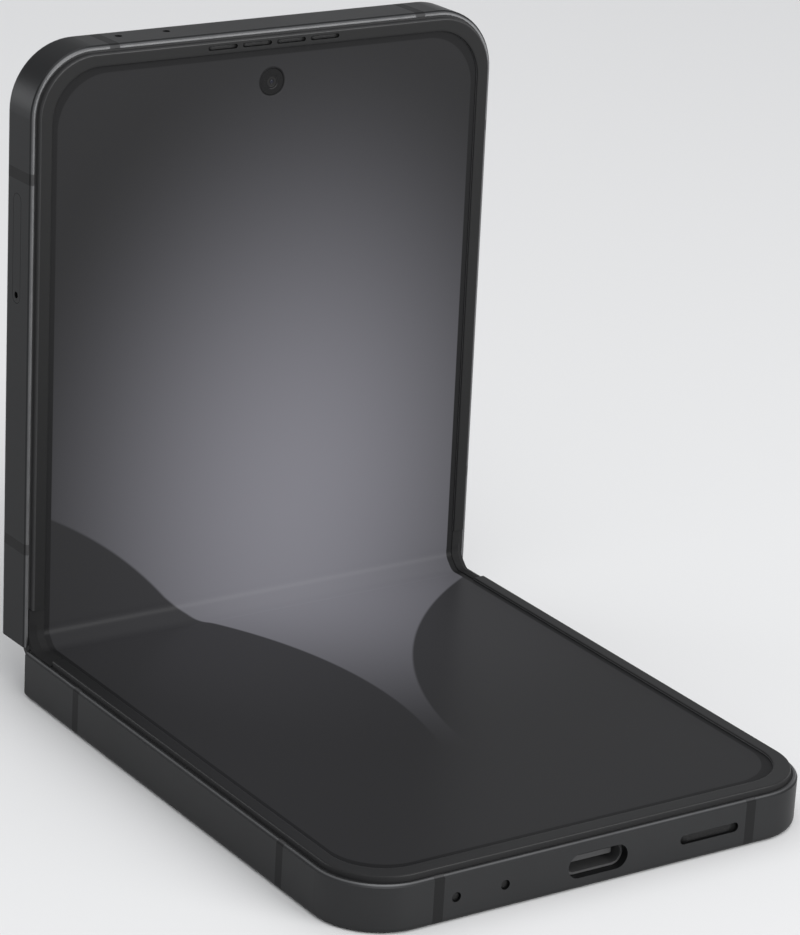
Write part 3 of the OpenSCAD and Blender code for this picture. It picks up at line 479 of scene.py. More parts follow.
# The side and window-wall copies are lighter as painted light on the walls and the groove, which lie in shade.
bezel_painted_light_side = moulded("bezel_painted_light_side", (0.034, 0.034, 0.0345), 0.6, 0.15)
lower_bezel_painted_light_side = moulded("lower_bezel_painted_light_side", (0.019, 0.019, 0.0195), 0.6, 0.12)
window_painted_light_wall = moulded("window_painted_light_wall", (0.09, 0.09, 0.092), 0.6, 0.15)
guard_rubber = grained("guard_rubber", (0.017, 0.017, 0.0173), 2800.0, 0.1, 0.7, 0.1, 0.4,
                       Specular_IOR_Level=0.06)
# BAND_EDGE is a painted highlight on the antenna bands' lips.
BAND, BAND_EDGE = (0.012, 0.0121, 0.0125), (0.06, 0.06, 0.061)
cap_plastic, lower_band, upper_band = (grained(name, BAND, 3000.0, 0.08, 0.5, 0.08, 0.3, Specular_IOR_Level=0.1)
                                       for name in ("cap_plastic", "lower_band", "upper_band"))
edge_lit(lower_band, LOWER_WAY, LOWER_LIP, BAND_EDGE, 1.0)
edge_lit(upper_band, UPPER_WAY, UPPER_LIP, BAND_EDGE, 1.0)
port_metal = grained("port_metal", (0.06, 0.06, 0.061), 2400.0, 0.12, 0.6, 0.1, 0.2, Specular_IOR_Level=0.2)
inner_plastic = grained("inner_plastic", (0.02, 0.02, 0.021), 2200.0, 0.12, 0.6, 0.1, 0.4)
steel = grained("brushed_steel", (0.42, 0.42, 0.43), 1800.0, 0.12, 0.32, 0.12, 0.2, Metallic=1.0)
battery_foil = grained("battery_foil", (0.03, 0.03, 0.033), 900.0, 0.2, 0.42, 0.2, 0.5)
copper = grained("copper_wire", (0.6, 0.27, 0.12), 2600.0, 0.12, 0.35, 0.1, 0.3, Metallic=1.0)
flash_lens = grained("flash_lens", (0.75, 0.72, 0.6), 1500.0, 0.1, 0.3, 0.1, 0.5)
print("finishes so far:", len(bpy.data.materials))

# %% Glossy finishes
def finger_marked(tree, vector, clean, smeared):
    """The roughness and dust of the finger marks group."""
    return put(tree, "ShaderNodeGroup", {"node_tree": finger_marks}, Vector=vector, Clean=clean,
               Smeared=smeared).outputs


def glossy(name, colour, clean, smeared):
    """A glossy dark face: finger marks change the roughness, and dust lifts the colour by a hair."""
    material, tree, principled, place = new_finish(name, IOR=1.52)
    marks = finger_marked(tree, place["Object"], clean, smeared)
    dusty = tuple(c * 1.6 + 0.006 for c in colour)
    shade = mix_colours(tree, marks["Dust"], colour, dusty)
    feed(tree, principled, Base_Color=shade, Roughness=marks["Roughness"])
    return material


back_glass = glossy("back_glass", (0.012, 0.0122, 0.013), 0.22, 0.3)
cover_window = glossy("cover_window", (0.006, 0.006, 0.0065), 0.03, 0.09)
print("finishes:", len(bpy.data.materials))

# %% [markdown]
# The glass over the upper half's back has the small outer display under it. While that display is off,
# it shows as a blacker and smoother rounded rectangle in the dull glass. Its place is read from the
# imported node, turned back into the half's own x and u.

# %% Glass over the outer display
def half_coords(name):
    """A node's points as x, u and v of the upper half: the mirror, then u = FOLD_Y - y and v = z - FRAME_T."""
    points = mirrored(np.array([p.co[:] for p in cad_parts[name].data.vertices]) / MM)
    return np.stack([points[:, 0], FOLD_Y - points[:, 1], points[:, 2] - FRAME_T], -1)


def outer_glass_finish(corner=3.2, soft=0.08):
    """Dull dark glass outside the outer display's rectangle, blacker and smoother glass inside it."""
    material, tree, principled, place = new_finish("outer_glass", IOR=1.52)
    low, high = half_coords("cover_display").min(0), half_coords("cover_display").max(0)
    along = on_upper(0, 1, 0) - on_upper(0, 0, 0)
    start_at = float(along @ on_upper(0, (low[1] + high[1]) / 2, 0)) * MM
    u = sums(tree, "SUBTRACT", vectors(tree, "DOT_PRODUCT", place["Object"], tuple(along)), start_at)
    across = [sums(tree, "DIVIDE", axis, MM) for axis in (parts_of(tree, place["Object"])[0], u)]
    reach = corner_reach(tree, *across, *(high - low)[:2] / 2, corner)
    inside = ramp(tree, reach, corner - soft, corner + soft, 1.0, 0.0)
    marks = finger_marked(tree, place["Object"], ramp(tree, inside, 0.0, 1.0, 0.22, 0.07),
                          ramp(tree, inside, 0.0, 1.0, 0.3, 0.13))
    shade = mix_colours(tree, inside, (0.013, 0.0132, 0.014), (0.0035, 0.0035, 0.004))
    feed(tree, principled, Base_Color=mix_colours(tree, marks["Dust"], shade, (0.025, 0.025, 0.026)),
         Roughness=marks["Roughness"])
    return material


outer_glass = outer_glass_finish()
print("finish:", outer_glass.name)

# %% Circuit boards
def circuit_finish():
    """Green solder mask with square copper pads: a brick pattern marks the pads, noise shades the mask."""
    material, tree, principled, place = new_finish("circuit_board", Metallic=0.0)
    tiles = put(tree, "ShaderNodeTexBrick", {"offset": 0.5}, Vector=place["Object"], Scale=220.0,
                Color1=(0.012, 0.06, 0.035, 1), Color2=(0.016, 0.075, 0.045, 1), Mortar=(0.4, 0.28, 0.1, 1),
                Mortar_Size=0.03).outputs
    rough = ramp(tree, noise(tree, place["Object"], 900.0, Detail=3.0), 0.3, 0.7, 0.3, 0.5)
    relief = bump(tree, tiles["Fac"], 0.4, 0.05 * MM)
    feed(tree, principled, Base_Color=tiles["Color"], Roughness=rough, Normal=relief)
    return material


board = circuit_finish()
print("finish:", board.name)

# %% Flexible circuit
def flex_finish(pitch=0.6):
    """Amber film over copper tracks: the tracks are the high parts of a sine across the cable."""
    material, tree, principled, place = new_finish("flex_film", Metallic=0.0, IOR=1.6)
    wave = sums(tree, "SINE", product(tree, parts_of(tree, place["Object"])[0], 2 * math.pi / (pitch * MM)))
    track = ramp(tree, wave, -0.1, 0.25)
    feed(tree, principled, Base_Color=mix_colours(tree, track, (0.16, 0.055, 0.01), (0.42, 0.17, 0.035)),
         Roughness=ramp(tree, noise(tree, place["Object"], 600.0, Detail=3.0), 0.3, 0.7, 0.25, 0.4),
         Normal=bump(tree, track, 0.5, 0.03 * MM))
    return material


flex_film = flex_finish()
print("finish:", flex_film.name)

# %% Woven mesh behind the sound openings
def woven_finish(name, wire, hole, turns=21000.0):
    """Fine steel cloth: two crossed sine waves, of so many radians a metre, are high on the wires."""
    material, tree, principled, place = new_finish(name, Metallic=0.6)
    parts = parts_of(tree, place["Object"])
    wires = (sums(tree, "ABSOLUTE", sums(tree, "SINE", product(tree, parts[k], turns))) for k in (0, 2))
    height = sums(tree, "MAXIMUM", *wires)
    feed(tree, principled, Base_Color=mix_colours(tree, ramp(tree, height, 0.55, 0.95), hole, wire),
         Roughness=ramp(tree, height, 0.5, 1.0, 0.8, 0.4), Normal=bump(tree, height, 0.6, 0.05 * MM))
    return material


mesh_cloth = woven_finish("woven_mesh", (0.05, 0.05, 0.052), (0.003, 0.003, 0.003))
dust_cloth = woven_finish("dust_cloth", (0.012, 0.012, 0.0122), (0.005, 0.005, 0.0051))
print("finishes:", mesh_cloth.name, dust_cloth.name)

# %% [markdown]
# ## The screen that bends
# The display is one thin sheet glued to both halves and free over the hinge. It is made as two strips that meet
# on the fold's middle line, because each hinge axis bends one of them: the lower strip between the lower half
# and the spine, the upper strip between the spine and the upper half. Along a strip, a point s millimetres from
# the fold turns about its hinge axis by a share of the fold angle that falls smoothly from one at the spine to
# nothing on the rigid panel. Its rest line is drawn between that curve and a plain arc.

# %% The line of the bend
DISPLAY_X, DISPLAY_FAR, DISPLAY_CORNER = 34.2, 80.2, 7.5
DISPLAY_TOP, DISPLAY_T = 0.5, 1.08
FOLD_R, BEND_END, PANEL_AT = 2.77, 3.27, 4.2
BLEND_S, ARC_SHARE = 3.6, 0.7
bend_from = np.array([FOLD_Y - BLEND_S, FRAME_T + DISPLAY_TOP])
bend_to = np.array([40.0, 8.2])


def turned(points, angle, centre):
    """Points (y, z) turned about a centre by an angle of their own each."""
    y, z = (points - centre).T
    return np.stack([y * np.cos(angle) - z * np.sin(angle), y * np.sin(angle) + z * np.cos(angle)], -1) + centre


def share(points):
    """How far a point has gone from bend_from to bend_to, smoothed: 3 t^2 - 2 t^3."""
    way = bend_to - bend_from
    t = np.clip((points - bend_from) @ way / (way @ way), 0, 1)
    return t * t * (3 - 2 * t)


def unrolled_line(s):
    """The line that lies straight when the phone is flat: found by repeating share and turn until they agree."""
    flat = np.stack([FOLD_Y - s, np.full_like(s, FRAME_T + DISPLAY_TOP)], -1)
    w = np.clip(1 - s / PANEL_AT, 0, 1)
    for _ in range(300):
        w = 0.5 * w + 0.5 * share(turned(flat, w * HALF_FOLD, AXIS_A))
    return turned(flat, w * HALF_FOLD, AXIS_A)


def arc_line(s):
    """A plain arc of radius FOLD_R that touches the lower panel, with s shrunk to the arc's shorter way."""
    way = s * (FOLD_R * HALF_FOLD + PANEL_AT - BEND_END) / PANEL_AT
    angle = np.where(s < PANEL_AT, HALF_FOLD - np.minimum(way / FOLD_R, HALF_FOLD), 0.0)
    straight = np.where(s < PANEL_AT, np.maximum(way - FOLD_R * HALF_FOLD, 0) + BEND_END, s)
    y = np.where(angle > 0, FOLD_Y - BEND_END + FOLD_R * np.sin(angle), FOLD_Y - straight)
    z = FRAME_T + DISPLAY_TOP + FOLD_R * (1 - np.cos(angle))
    return np.stack([y, z], -1)


def screen_line(s):
    """The display's rest line (y, z): ARC_SHARE of the arc, and the rest of the unrolled line."""
    return ARC_SHARE * arc_line(s) + (1 - ARC_SHARE) * unrolled_line(s)


print("line from fold to panel:", screen_line(np.array([0.0, 1.0, 2.0, 4.2, 6.0])).round(3).tolist())

# %% The display strips
PUNCH_S, PUNCH_R = 75.35, 1.85
PATCH_X, PATCH_FROM, PATCH_TO = 2.6, 72.6, 77.8
RINGS = 6


def display_grid(punched):
    """Points (x, s) of one strip. x is p times the half width, which shrinks in the round corners; with
    punched, a square of the grid gives way to rings that close in on the camera's round hole."""
    near = np.concatenate([[0, 0.02, 0.05, 0.1], np.arange(0.18, 6.6, 0.12), np.linspace(6.7, 70.6, 12)])
    bow = DISPLAY_FAR - DISPLAY_CORNER * (1 - np.sin(np.linspace(0, np.pi / 2, 26)))
    s = np.unique(np.concatenate([near, bow, np.linspace(PATCH_FROM, PATCH_TO, 9)]).round(5))
    p = np.unique(np.concatenate([np.linspace(-1, 1, 33), np.linspace(-PATCH_X, PATCH_X, 9) / DISPLAY_X,
                                  [-0.995, 0.995]]).round(6))
    into = np.clip(s - (DISPLAY_FAR - DISPLAY_CORNER), 0, DISPLAY_CORNER)
    half = DISPLAY_X - DISPLAY_CORNER + np.sqrt(DISPLAY_CORNER**2 - into**2)
    points = np.stack([p[None, :] * half[:, None], s[:, None] + 0 * p[None, :]], -1).reshape(-1, 2)
    faces = grid_faces(len(s), len(p))
    if not punched:
        return points, faces
    i0, i1 = np.searchsorted(s, [PATCH_FROM - 1e-6, PATCH_TO - 1e-6])
    j0, j1 = np.searchsorted(p, [-PATCH_X / DISPLAY_X - 1e-5, PATCH_X / DISPLAY_X - 1e-5])
    rows, cols = np.divmod(faces[:, 0], len(p))
    faces = faces[~((rows >= i0) & (rows < i1) & (cols >= j0) & (cols < j1))]
    loop = np.concatenate([i0 * len(p) + np.arange(j0, j1), np.arange(i0, i1) * len(p) + j1,
                           i1 * len(p) + np.arange(j1, j0, -1), np.arange(i1, i0, -1) * len(p) + j0])
    hole = np.array([0.0, PUNCH_S])
    out = points[loop] - hole
    rim = out / np.linalg.norm(out, axis=1, keepdims=True) * PUNCH_R
    shares = np.linspace(0, 1, RINGS)[1:, None, None]
    rings = (out * (1 - shares) + rim * shares + hole).reshape(-1, 2)
    ring_ids = np.concatenate([loop, len(points) + np.arange(len(rings))])
    ring_faces = ring_ids[grid_faces(RINGS, len(loop), closed=True)]
    return np.concatenate([points, rings]), np.concatenate([faces, ring_faces])


def strip(name, upper, points, faces, uv, thickness, even_offset=False):
    """A sheet on the lower half, or its mirror image on the upper one, thickened towards its back."""
    piece = make_piece(name, mirrored(points) if upper else points, faces if upper else faces[:, ::-1], uv)
    wall = piece.modifiers.new("thickness", "SOLIDIFY")
    wall.thickness, wall.offset, wall.use_even_offset = thickness * MM, -1.0, even_offset
    return piece


def display_strip(name, upper):
    """One strip of the display: (x, s) laid along the screen line."""
    flat, faces = display_grid(upper)
    points = np.column_stack([flat[:, 0], screen_line(flat[:, 1])])
    uv = 0.5 + flat * [1, 1 if upper else -1] / (2 * DISPLAY_X, 2 * DISPLAY_FAR)
    return strip(name, upper, points, faces, uv, DISPLAY_T, even_offset=True)


start = np.array([0, *bend_from])
end = np.array([0, *bend_to])


def bend_with_fold(lower, upper):
    """Bakes the placement of a pair of strips into their meshes."""
    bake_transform(lower)
    tuple(mirrored(end) * MM)
    tuple(mirrored(start) * MM)
    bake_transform(upper)


lower_screen = display_strip("display_lower_strip", False)
upper_screen = display_strip("display_upper_strip", True)
bend_with_fold(lower_screen, upper_screen)
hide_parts("lower_display_panel", "display_fold")
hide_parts("upper_display_panel")
print("strips:", [len(o.data.polygons) for o in (lower_screen, upper_screen)], "faces")

# %% [markdown]
# ## The cable through the hinge
# A flat flexible circuit carries power and signals from one half to the other. It runs under the
# screen, through the hollow of the spine, on a wider arc round the same centre as the screen's bend.
# It is built as the screen is, in two strips that meet under the fold.

# %% The hinge cable
CABLE_X, CABLE_TOP, CABLE_T = 4.5, -1.33, 0.12
ARC_POINTS, RUN_POINTS = 25, 5


def cable_strip(name, upper):
    """An arc about the screen's bend centre down to the panel's plane, then a short straight run; x is level."""
    radius = FOLD_R + DISPLAY_TOP - CABLE_TOP
    angle = np.concatenate([HALF_FOLD * (1 - np.linspace(0, 1, ARC_POINTS)), np.zeros(RUN_POINTS - 1)])
    run = np.concatenate([np.zeros(ARC_POINTS), (PANEL_AT - BEND_END) * np.linspace(0, 1, RUN_POINTS)[1:]])
    y = FOLD_Y - BEND_END + radius * np.sin(angle) - run
    z = FRAME_T + CABLE_TOP + radius * (1 - np.cos(angle))
    x = np.linspace(-CABLE_X, CABLE_X, 19)
    points = np.stack(np.broadcast_arrays(x[None, :], y[:, None], z[:, None]), -1).reshape(-1, 3)
    uv = np.stack(np.broadcast_arrays(x[None, :], (radius * (HALF_FOLD - angle) + run)[:, None]), -1)
    return strip(name, upper, points, grid_faces(len(y), len(x)), uv.reshape(-1, 2) / 10, CABLE_T)


lower_cable = cable_strip("hinge_cable_lower_strip", False)
upper_cable = cable_strip("hinge_cable_upper_strip", True)
bend_with_fold(lower_cable, upper_cable)
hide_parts("hinge_flex_cable")
for piece in (lower_cable, upper_cable):
    piece.data.materials.append(flex_film)
print("cable strips:", [len(o.data.polygons) for o in (lower_cable, upper_cable)], "faces")

# %% [markdown]
# ## What the screen shows
# The lit picture is a soft grey glow with a violet breath, as a phone shows when it wakes, crossed by
# two broad rounded swells of shade. It is worked out from the strip's own UV map in millimetres, so it
# bends with the sheet. A black border frames it. The picture is given off as light, and the sheet
# itself is a dark, slightly dull film.

# %% The lit picture
ACTIVE_X, ACTIVE_TOP, ACTIVE_BOTTOM, ACTIVE_CORNER = 32.35, 79.0, 78.4, 7.3


def screen_finish():
    """Emission is border mask x (dark grey + glow x violet grey); two soft circles dim the glow."""
    material, tree, principled, place = new_finish("lit_screen", Specular_IOR_Level=0.04, Emission_Strength=1.0,
                                                   Base_Color=(0.015, 0.015, 0.0155, 1.0))
    uv = vectors(tree, "MULTIPLY_ADD", place["UV"], (2 * DISPLAY_X, 2 * DISPLAY_FAR, 0),
                 (-DISPLAY_X, -DISPLAY_FAR, 0))
    x, s, _ = parts_of(tree, uv)

    def distance(x0, s0, wide=1.0, tall=1.0):
        """Distance from a place on the sheet, with x and s shrunk by the wide and tall radii."""
        off = vectors(tree, "SUBTRACT", uv, (x0, s0, 0))
        return vectors(tree, "LENGTH", vectors(tree, "DIVIDE", off, (wide, tall, 1)))

    def swell(away, inside, at_rim):
        """A round shade: inside at its middle, at_rim further out, and gone past a crisp rim at distance one."""
        return sums(tree, "MAXIMUM", ramp(tree, away, 0.3, 1.0, inside, at_rim), ramp(tree, away, 0.992, 1.0))

    glow = ramp(tree, distance(6.0, 14.0, 50.0, 70.0), 0.0, 1.0, 1.0, 0.0)
    light = product(tree, glow, swell(distance(-62.0, -34.0, 62.0, 60.0), 0.25, 0.1),
                    swell(distance(66.0, -58.0, 66.0, 62.0), 0.3, 0.1))
    colour = mix_colours(tree, light, (0.0115, 0.0115, 0.0122), (0.2, 0.198, 0.225))

    centred = sums(tree, "SUBTRACT", s, (ACTIVE_TOP - ACTIVE_BOTTOM) / 2)
    reach = corner_reach(tree, x, centred, ACTIVE_X, (ACTIVE_TOP + ACTIVE_BOTTOM) / 2, ACTIVE_CORNER)
    ring = ramp(tree, distance(0.0, PUNCH_S + 0.07), PUNCH_R + 0.13, PUNCH_R + 0.22)
    border = product(tree, ring, ramp(tree, reach, ACTIVE_CORNER - 0.06, ACTIVE_CORNER + 0.06, 1.0, 0.0))
    feed(tree, principled, Emission_Color=mix_colours(tree, border, (0.0, 0.0, 0.0), colour),
         Roughness=finger_marked(tree, uv, 0.28, 0.36)["Roughness"])
    return material


lit_screen = screen_finish()
for piece in (lower_screen, upper_screen):
    piece.data.materials.append(lit_screen)
print("finish:", lit_screen.name)

# %% [markdown]
# ## The bezels
# A raised plastic frame covers the edge of the display on each half and ends short of the hinge. It is
# a profile carried along two outlines, one for its outer edge and one for its inner edge. The profile
# has a small round on both of its upper edges and a low foot on the outside.

# %% The outlines
CORNER_R = 9.0
BEZEL_IN, BEZEL_W, BEZEL_RISE = 0.92, 1.85, 0.82
LOWER_STOP, UPPER_STOP = 6.45, 5.95
LOWER_END_W, UPPER_END_W = 2.15, 1.8
WINDOW_R = 7.0
SEAT = -0.58


def outline(inset, end_inset, radius, stop, count=28, steps=9):
    """A path (x, u) round a half: up the +x side, round a corner, across the end, and down the other side."""
    half_width, far = SIDE_X - inset, FAR_U - end_inset
    turn_by = np.linspace(0, np.pi / 2, count)
    arc = np.stack([half_width - radius + radius * np.cos(turn_by), far - radius + radius * np.sin(turn_by)], -1)
    side_u = np.linspace(stop, far - radius, steps)[:-1]
    end_x = np.linspace(half_width - radius, 0, steps)[1:-1]
    side, across = (np.stack(np.broadcast_arrays(*pair), -1) for pair in ((half_width, side_u), (end_x, far)))
    one = np.concatenate([side, arc, across])
    return np.concatenate([one, [[0.0, far]], one[::-1] * [-1, 1]])


lower_edge, upper_edge = (outline(BEZEL_IN, BEZEL_IN, CORNER_R - BEZEL_IN, stop)
                          for stop in (LOWER_STOP, UPPER_STOP))
lower_window, upper_window = (outline(BEZEL_IN + BEZEL_W, BEZEL_IN + end_w, WINDOW_R, stop)
                              for end_w, stop in ((LOWER_END_W, LOWER_STOP), (UPPER_END_W, UPPER_STOP)))
print("outline points:", len(lower_edge))

# %% The profile and the two bezels
FOOT, FOOT_TOP, GLASS_GAP = 0.28, -0.03, 0.04
SECTION_FINISHES = ([1, 2, 0, 3, 0], [4, 5, 7, 2, 3])


def bezel_profile(rounding=0.2):
    """Closed section in three runs of (distance, height): from the outer edge, from the inner edge, and beneath.
    A low foot reaches outwards and fills the gap to the metal lip."""
    a = np.linspace(0, np.pi / 2, 6)
    top, low = BEZEL_RISE, DISPLAY_TOP + GLASS_GAP
    quarter = rounding * np.stack([1 - np.cos(a), np.sin(a) - 1], -1) + [0, top]
    from_outer = np.array([[-FOOT, SEAT], [-FOOT, FOOT_TOP], [0.0, FOOT_TOP], [0.0, 0.3], *quarter, [0.45, top]])
    from_inner = np.array([[0.5, top], *quarter[::-1], [0.0, low]])
    return from_outer, from_inner, np.array([[0.7, low], [0.7, SEAT]])


def bezel(name, place, outer_edge, inner_edge, finishes):
    """The section swept between two outlines, with a flat cap on each end; SECTION_FINISHES says how many
    columns have each finish: the foot and wall, with painted light, the outer round, with a painted highlight,
    the top, the window's wall, with painted light, and the underside."""
    from_outer, from_inner, under = bezel_profile()
    across = (inner_edge - outer_edge)[:, None, :]
    width = np.linalg.norm(across, axis=2, keepdims=True)
    zero = np.zeros_like(width)
    distances = np.concatenate([zero + from_outer[:, :1], width - from_inner[:, :1], zero + under[:, :1]], 1)
    plan = outer_edge[:, None, :] + across / width * distances
    height = np.concatenate([from_outer, from_inner, under])[None, :, 1]
    rows, columns = plan.shape[:2]
    points = place(plan[..., 0], plan[..., 1], height).reshape(-1, 3)
    piece = make_piece(name, points, tube_faces(rows, columns))
    for finish in finishes:
        piece.data.materials.append(finish)
    numbers = np.append(np.tile(np.repeat(*SECTION_FINISHES), rows - 1), [0, 0]).astype(np.int32)
    piece.data.polygons.foreach_set("material_index", numbers)
    return recalculated(piece, EDGE_ANGLE)


lower_bezel = bezel("bezel_lower", on_lower, lower_edge, lower_window,
                    (lower_bezel_plastic, lower_bezel_painted_light_side, lower_bezel_painted_highlight_round, window_painted_light_wall))
upper_bezel = bezel("bezel_upper", on_upper, upper_edge, upper_window,
                    (bezel_plastic, bezel_painted_light_side, bezel_painted_highlight_round, window_painted_light_wall))
print("bezel faces:", len(lower_bezel.data.polygons))

# %% Earpiece slots
EAR_PITCH, EAR_L, EAR_H, EAR_U = 5.3, 4.5, 0.6, 80.81
EAR_HOLES = [(shift * EAR_PITCH, EAR_U, EAR_L, EAR_H) for shift in (-1.5, -0.5, 0.5, 1.5)]


def stadium(length, height, fit=0.0, count=13):
    """A ring with round ends; fit is how far its radius stays under half the height."""
    angle = np.linspace(-np.pi / 2, np.pi / 2, count)
    radius = height / 2 - fit
    right_end = np.stack([(length - height) / 2 + radius * np.cos(angle), radius * np.sin(angle)], -1)
    return np.concatenate([right_end, -right_end])


def slot_cutter(bottom=-1.0, top=1.5):
    """Upright slots with round ends, closed top and bottom, as one mesh to cut with."""
    points, faces = [], []
    for x0, u0, length, height in EAR_HOLES:
        ring = stadium(length, height) + [x0, u0]
        faces += [[i + len(points) * len(ring) for i in face] for face in tube_faces(2, len(ring))]
        points += [on_upper(ring[:, 0], ring[:, 1], level) for level in (bottom, top)]
    return make_piece("slot_cutter", np.concatenate(points), faces)


def cut_with(piece, cutter):
    """Subtracts the cutter for good and removes it."""
    difference = piece.modifiers.new("slots", "BOOLEAN")
    difference.object, difference.operation, difference.solver = cutter, "DIFFERENCE", "EXACT"
    bpy.context.view_layer.update()
    cut = bpy.data.meshes.new_from_object(piece.evaluated_get(bpy.context.evaluated_depsgraph_get()))
    piece.modifiers.clear()
    piece.data = cut
    bpy.data.objects.remove(cutter)
    piece.data.set_sharp_from_angle(angle=math.radians(EDGE_ANGLE))


cut_with(upper_bezel, recalculated(slot_cutter()))
for piece, half in ((lower_bezel, "lower"), (upper_bezel, "upper")):
    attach(piece, f"{half}_half")
    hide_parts(f"{half}_bezel")
print("upper bezel with slots:", len(upper_bezel.data.polygons), "faces")

# %% [markdown]
# ## The fold guards
# Between the ends of the two bezels the display's edge would lie open. A soft strip on each side covers it and
# bends with it, from the lower bezel round the fold to the upper one. Each strip is a section carried along the
# screen's own line, in a lower and an upper part, as the screen is.
# A short stem under the screen ties each guard to the end of the spine. The outer side slopes down to
# the metal, so the guard does not show over the rim.

# %% The guard strips
GUARD_X, GUARD_LAP = 35.32, 33.2
STEM_FROM, STEM_HALF_W, STEM_HALF_H, STEM_DROP, SQUARENESS = 32.9, 0.2, 0.63, 0.35, 0.4


def guard_strip(name, upper, stop):
    """A closed section (x, height) at each s; its top slopes to the lip, less so towards the bezel's end."""
    s = np.concatenate([np.linspace(0, 4.4, 34), np.linspace(4.6, stop - 0.04, 10)])
    line = screen_line(s)
    along = np.gradient(line, s, axis=0)
    along /= np.linalg.norm(along, axis=1, keepdims=True)
    along[0] = [-np.cos(HALF_FOLD), -np.sin(HALF_FOLD)]
    normal = np.stack([along[:, 1], -along[:, 0]], -1)
    level = np.clip((s - 3.4) / 1.2, 0, 1)
    edge = 0.14 * level * level * (3 - 2 * level)
    top, low, foot = DISPLAY_TOP + 0.12, DISPLAY_TOP + 0.03, SEAT + 0.04
    inner_x = DISPLAY_X + 0.06
    section = [(GUARD_LAP, low), (GUARD_LAP, top - 0.05), (GUARD_LAP + 0.06, top), (DISPLAY_X + 0.1, top),
               (GUARD_X - 0.06, edge), (GUARD_X, edge - 0.5), (GUARD_X, foot), (inner_x, foot), (inner_x, low)]
    x, v = (np.stack([value + 0 * s for value in column], -1)[..., None] for column in zip(*section))
    yz = line[:, None, :] + normal[:, None, :] * (v - DISPLAY_TOP)
    points, faces = both_sides(np.concatenate([x, yz], -1).reshape(-1, 3), tube_faces(len(s), len(section)))
    return recalculated(make_piece(name, mirrored(points) if upper else points, faces), EDGE_ANGLE)


def guard_stems(rows=6, columns=16):
    """Two bars across the spine's ends: a rounded square section carried along x, turned with the spine."""
    a = np.linspace(0, 2 * np.pi, columns + 1)[:-1]
    across, upward = (np.sign(wave) * np.abs(wave) ** SQUARENESS for wave in (np.cos(a), np.sin(a)))
    ring = np.stack([FOLD_Y + STEM_HALF_W * across, FRAME_T + SEAT - STEM_DROP + STEM_HALF_H * upward], -1)
    ring = turned(ring, HALF_FOLD, AXIS_A)
    x = np.linspace(STEM_FROM, GUARD_X - 0.05, rows)
    one = np.concatenate([np.broadcast_to(x[:, None, None], (rows, columns, 1)),
                          np.broadcast_to(ring, (rows, columns, 2))], -1)
    points, faces = both_sides(one.reshape(-1, 3), tube_faces(rows, columns))
    return recalculated(make_piece("fold_guard_stems", points, faces))


lower_guard = guard_strip("fold_guard_lower", False, LOWER_STOP)
upper_guard = guard_strip("fold_guard_upper", True, UPPER_STOP)
stems = guard_stems()
bend_with_fold(lower_guard, upper_guard)
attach(stems, "hinge_spine")
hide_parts("fold_guards")
for piece in (lower_guard, upper_guard, stems):
    piece.data.materials.append(guard_rubber)
print("guards:", [len(o.data.polygons) for o in (lower_guard, upper_guard, stems)], "faces")

# %% [markdown]
# ## The front camera's window
# Behind the hole in the screen sits a small glass window with the lens showing through it. It is a
# turned shape: a profile of radius and height, spun round the middle of the hole. Shallow steps stand
# for the rings round the lens, and the finish darkens from ring to ring.

# %% The window
def spun(profile, x0, u0, uv_width, count):
    """A profile (radius, height) turned about (x0, u0) on the upper half: its points, its faces and its UVs."""
    angle = np.linspace(0, 2 * np.pi, count + 1)[:-1]
    x, u = profile[:, :1] * np.cos(angle), profile[:, :1] * np.sin(angle)
    points = on_upper(x0 + x, u0 + u, np.broadcast_to(profile[:, 1:], x.shape)).reshape(-1, 3)
    uv = 0.5 + np.stack([x, u], -1).reshape(-1, 2) / uv_width
    return points, grid_faces(len(profile), count, closed=True), uv


def ringed_glass(name, uv_width, rings, black, clean, smeared, **shader):
    """Black glass with rings by distance from the middle: a ring is the four radii of its band, its colour,
    and how many radians of grooves it has to the millimetre."""
    material, tree, principled, place = new_finish(name, **shader)
    off = vectors(tree, "SUBTRACT", place["UV"], (0.5, 0.5, 0))
    away = product(tree, vectors(tree, "LENGTH", off), uv_width)
    shade = black
    for radii, colour, grooves in rings:
        mask = band(tree, away, *radii)
        if grooves:
            mask = product(tree, mask, ramp(tree, sums(tree, "SINE", product(tree, away, grooves)), -0.6, 0.6))
        shade = mix_colours(tree, mask, shade, colour)
    marks = finger_marked(tree, place["Object"], clean, smeared)
    feed(tree, principled, Base_Color=shade, Roughness=marks["Roughness"])
    return material


CAMERA_UV = 4
camera_profile = np.array([[0.0, 0.44], [0.12, 0.435], [0.2, 0.42], [0.3, 0.42], [0.36, 0.425], [0.64, 0.425],
                           [0.7, 0.43], [0.95, 0.43], [1.0, 0.44], [1.79, 0.44], [1.81, 0.42], [1.81, 0.31],
                           [0.9, 0.31], [0.0, 0.31]])
window = recalculated(make_piece("front_camera_window", *spun(camera_profile, 0, PUNCH_S, CAMERA_UV, 48)), 3)
window.data.materials.append(ringed_glass(
    "camera_window_glass", CAMERA_UV,
    [((0.36, 0.44, 0.6, 0.7), (0.017, 0.0168, 0.0165), 0), ((-2, -1, 0.15, 0.36), (0.016, 0.017, 0.024), 0)],
    (0.009, 0.009, 0.0093), 0.06, 0.14, IOR=1.52, Specular_IOR_Level=0.1))
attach(window, "upper_half")
print("camera window:", len(window.data.polygons), "faces")

# %% [markdown]
# ## The rear cameras' windows
# Each rear camera looks out through a glass disc in a metal ring. Under the flat rim of the glass a
# grooved cone leads down to a domed front lens. Both windows are one profile spun twice, about centres
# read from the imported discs, and they fill the room of those discs exactly.

# %% The rear windows
REAR_UV = 12


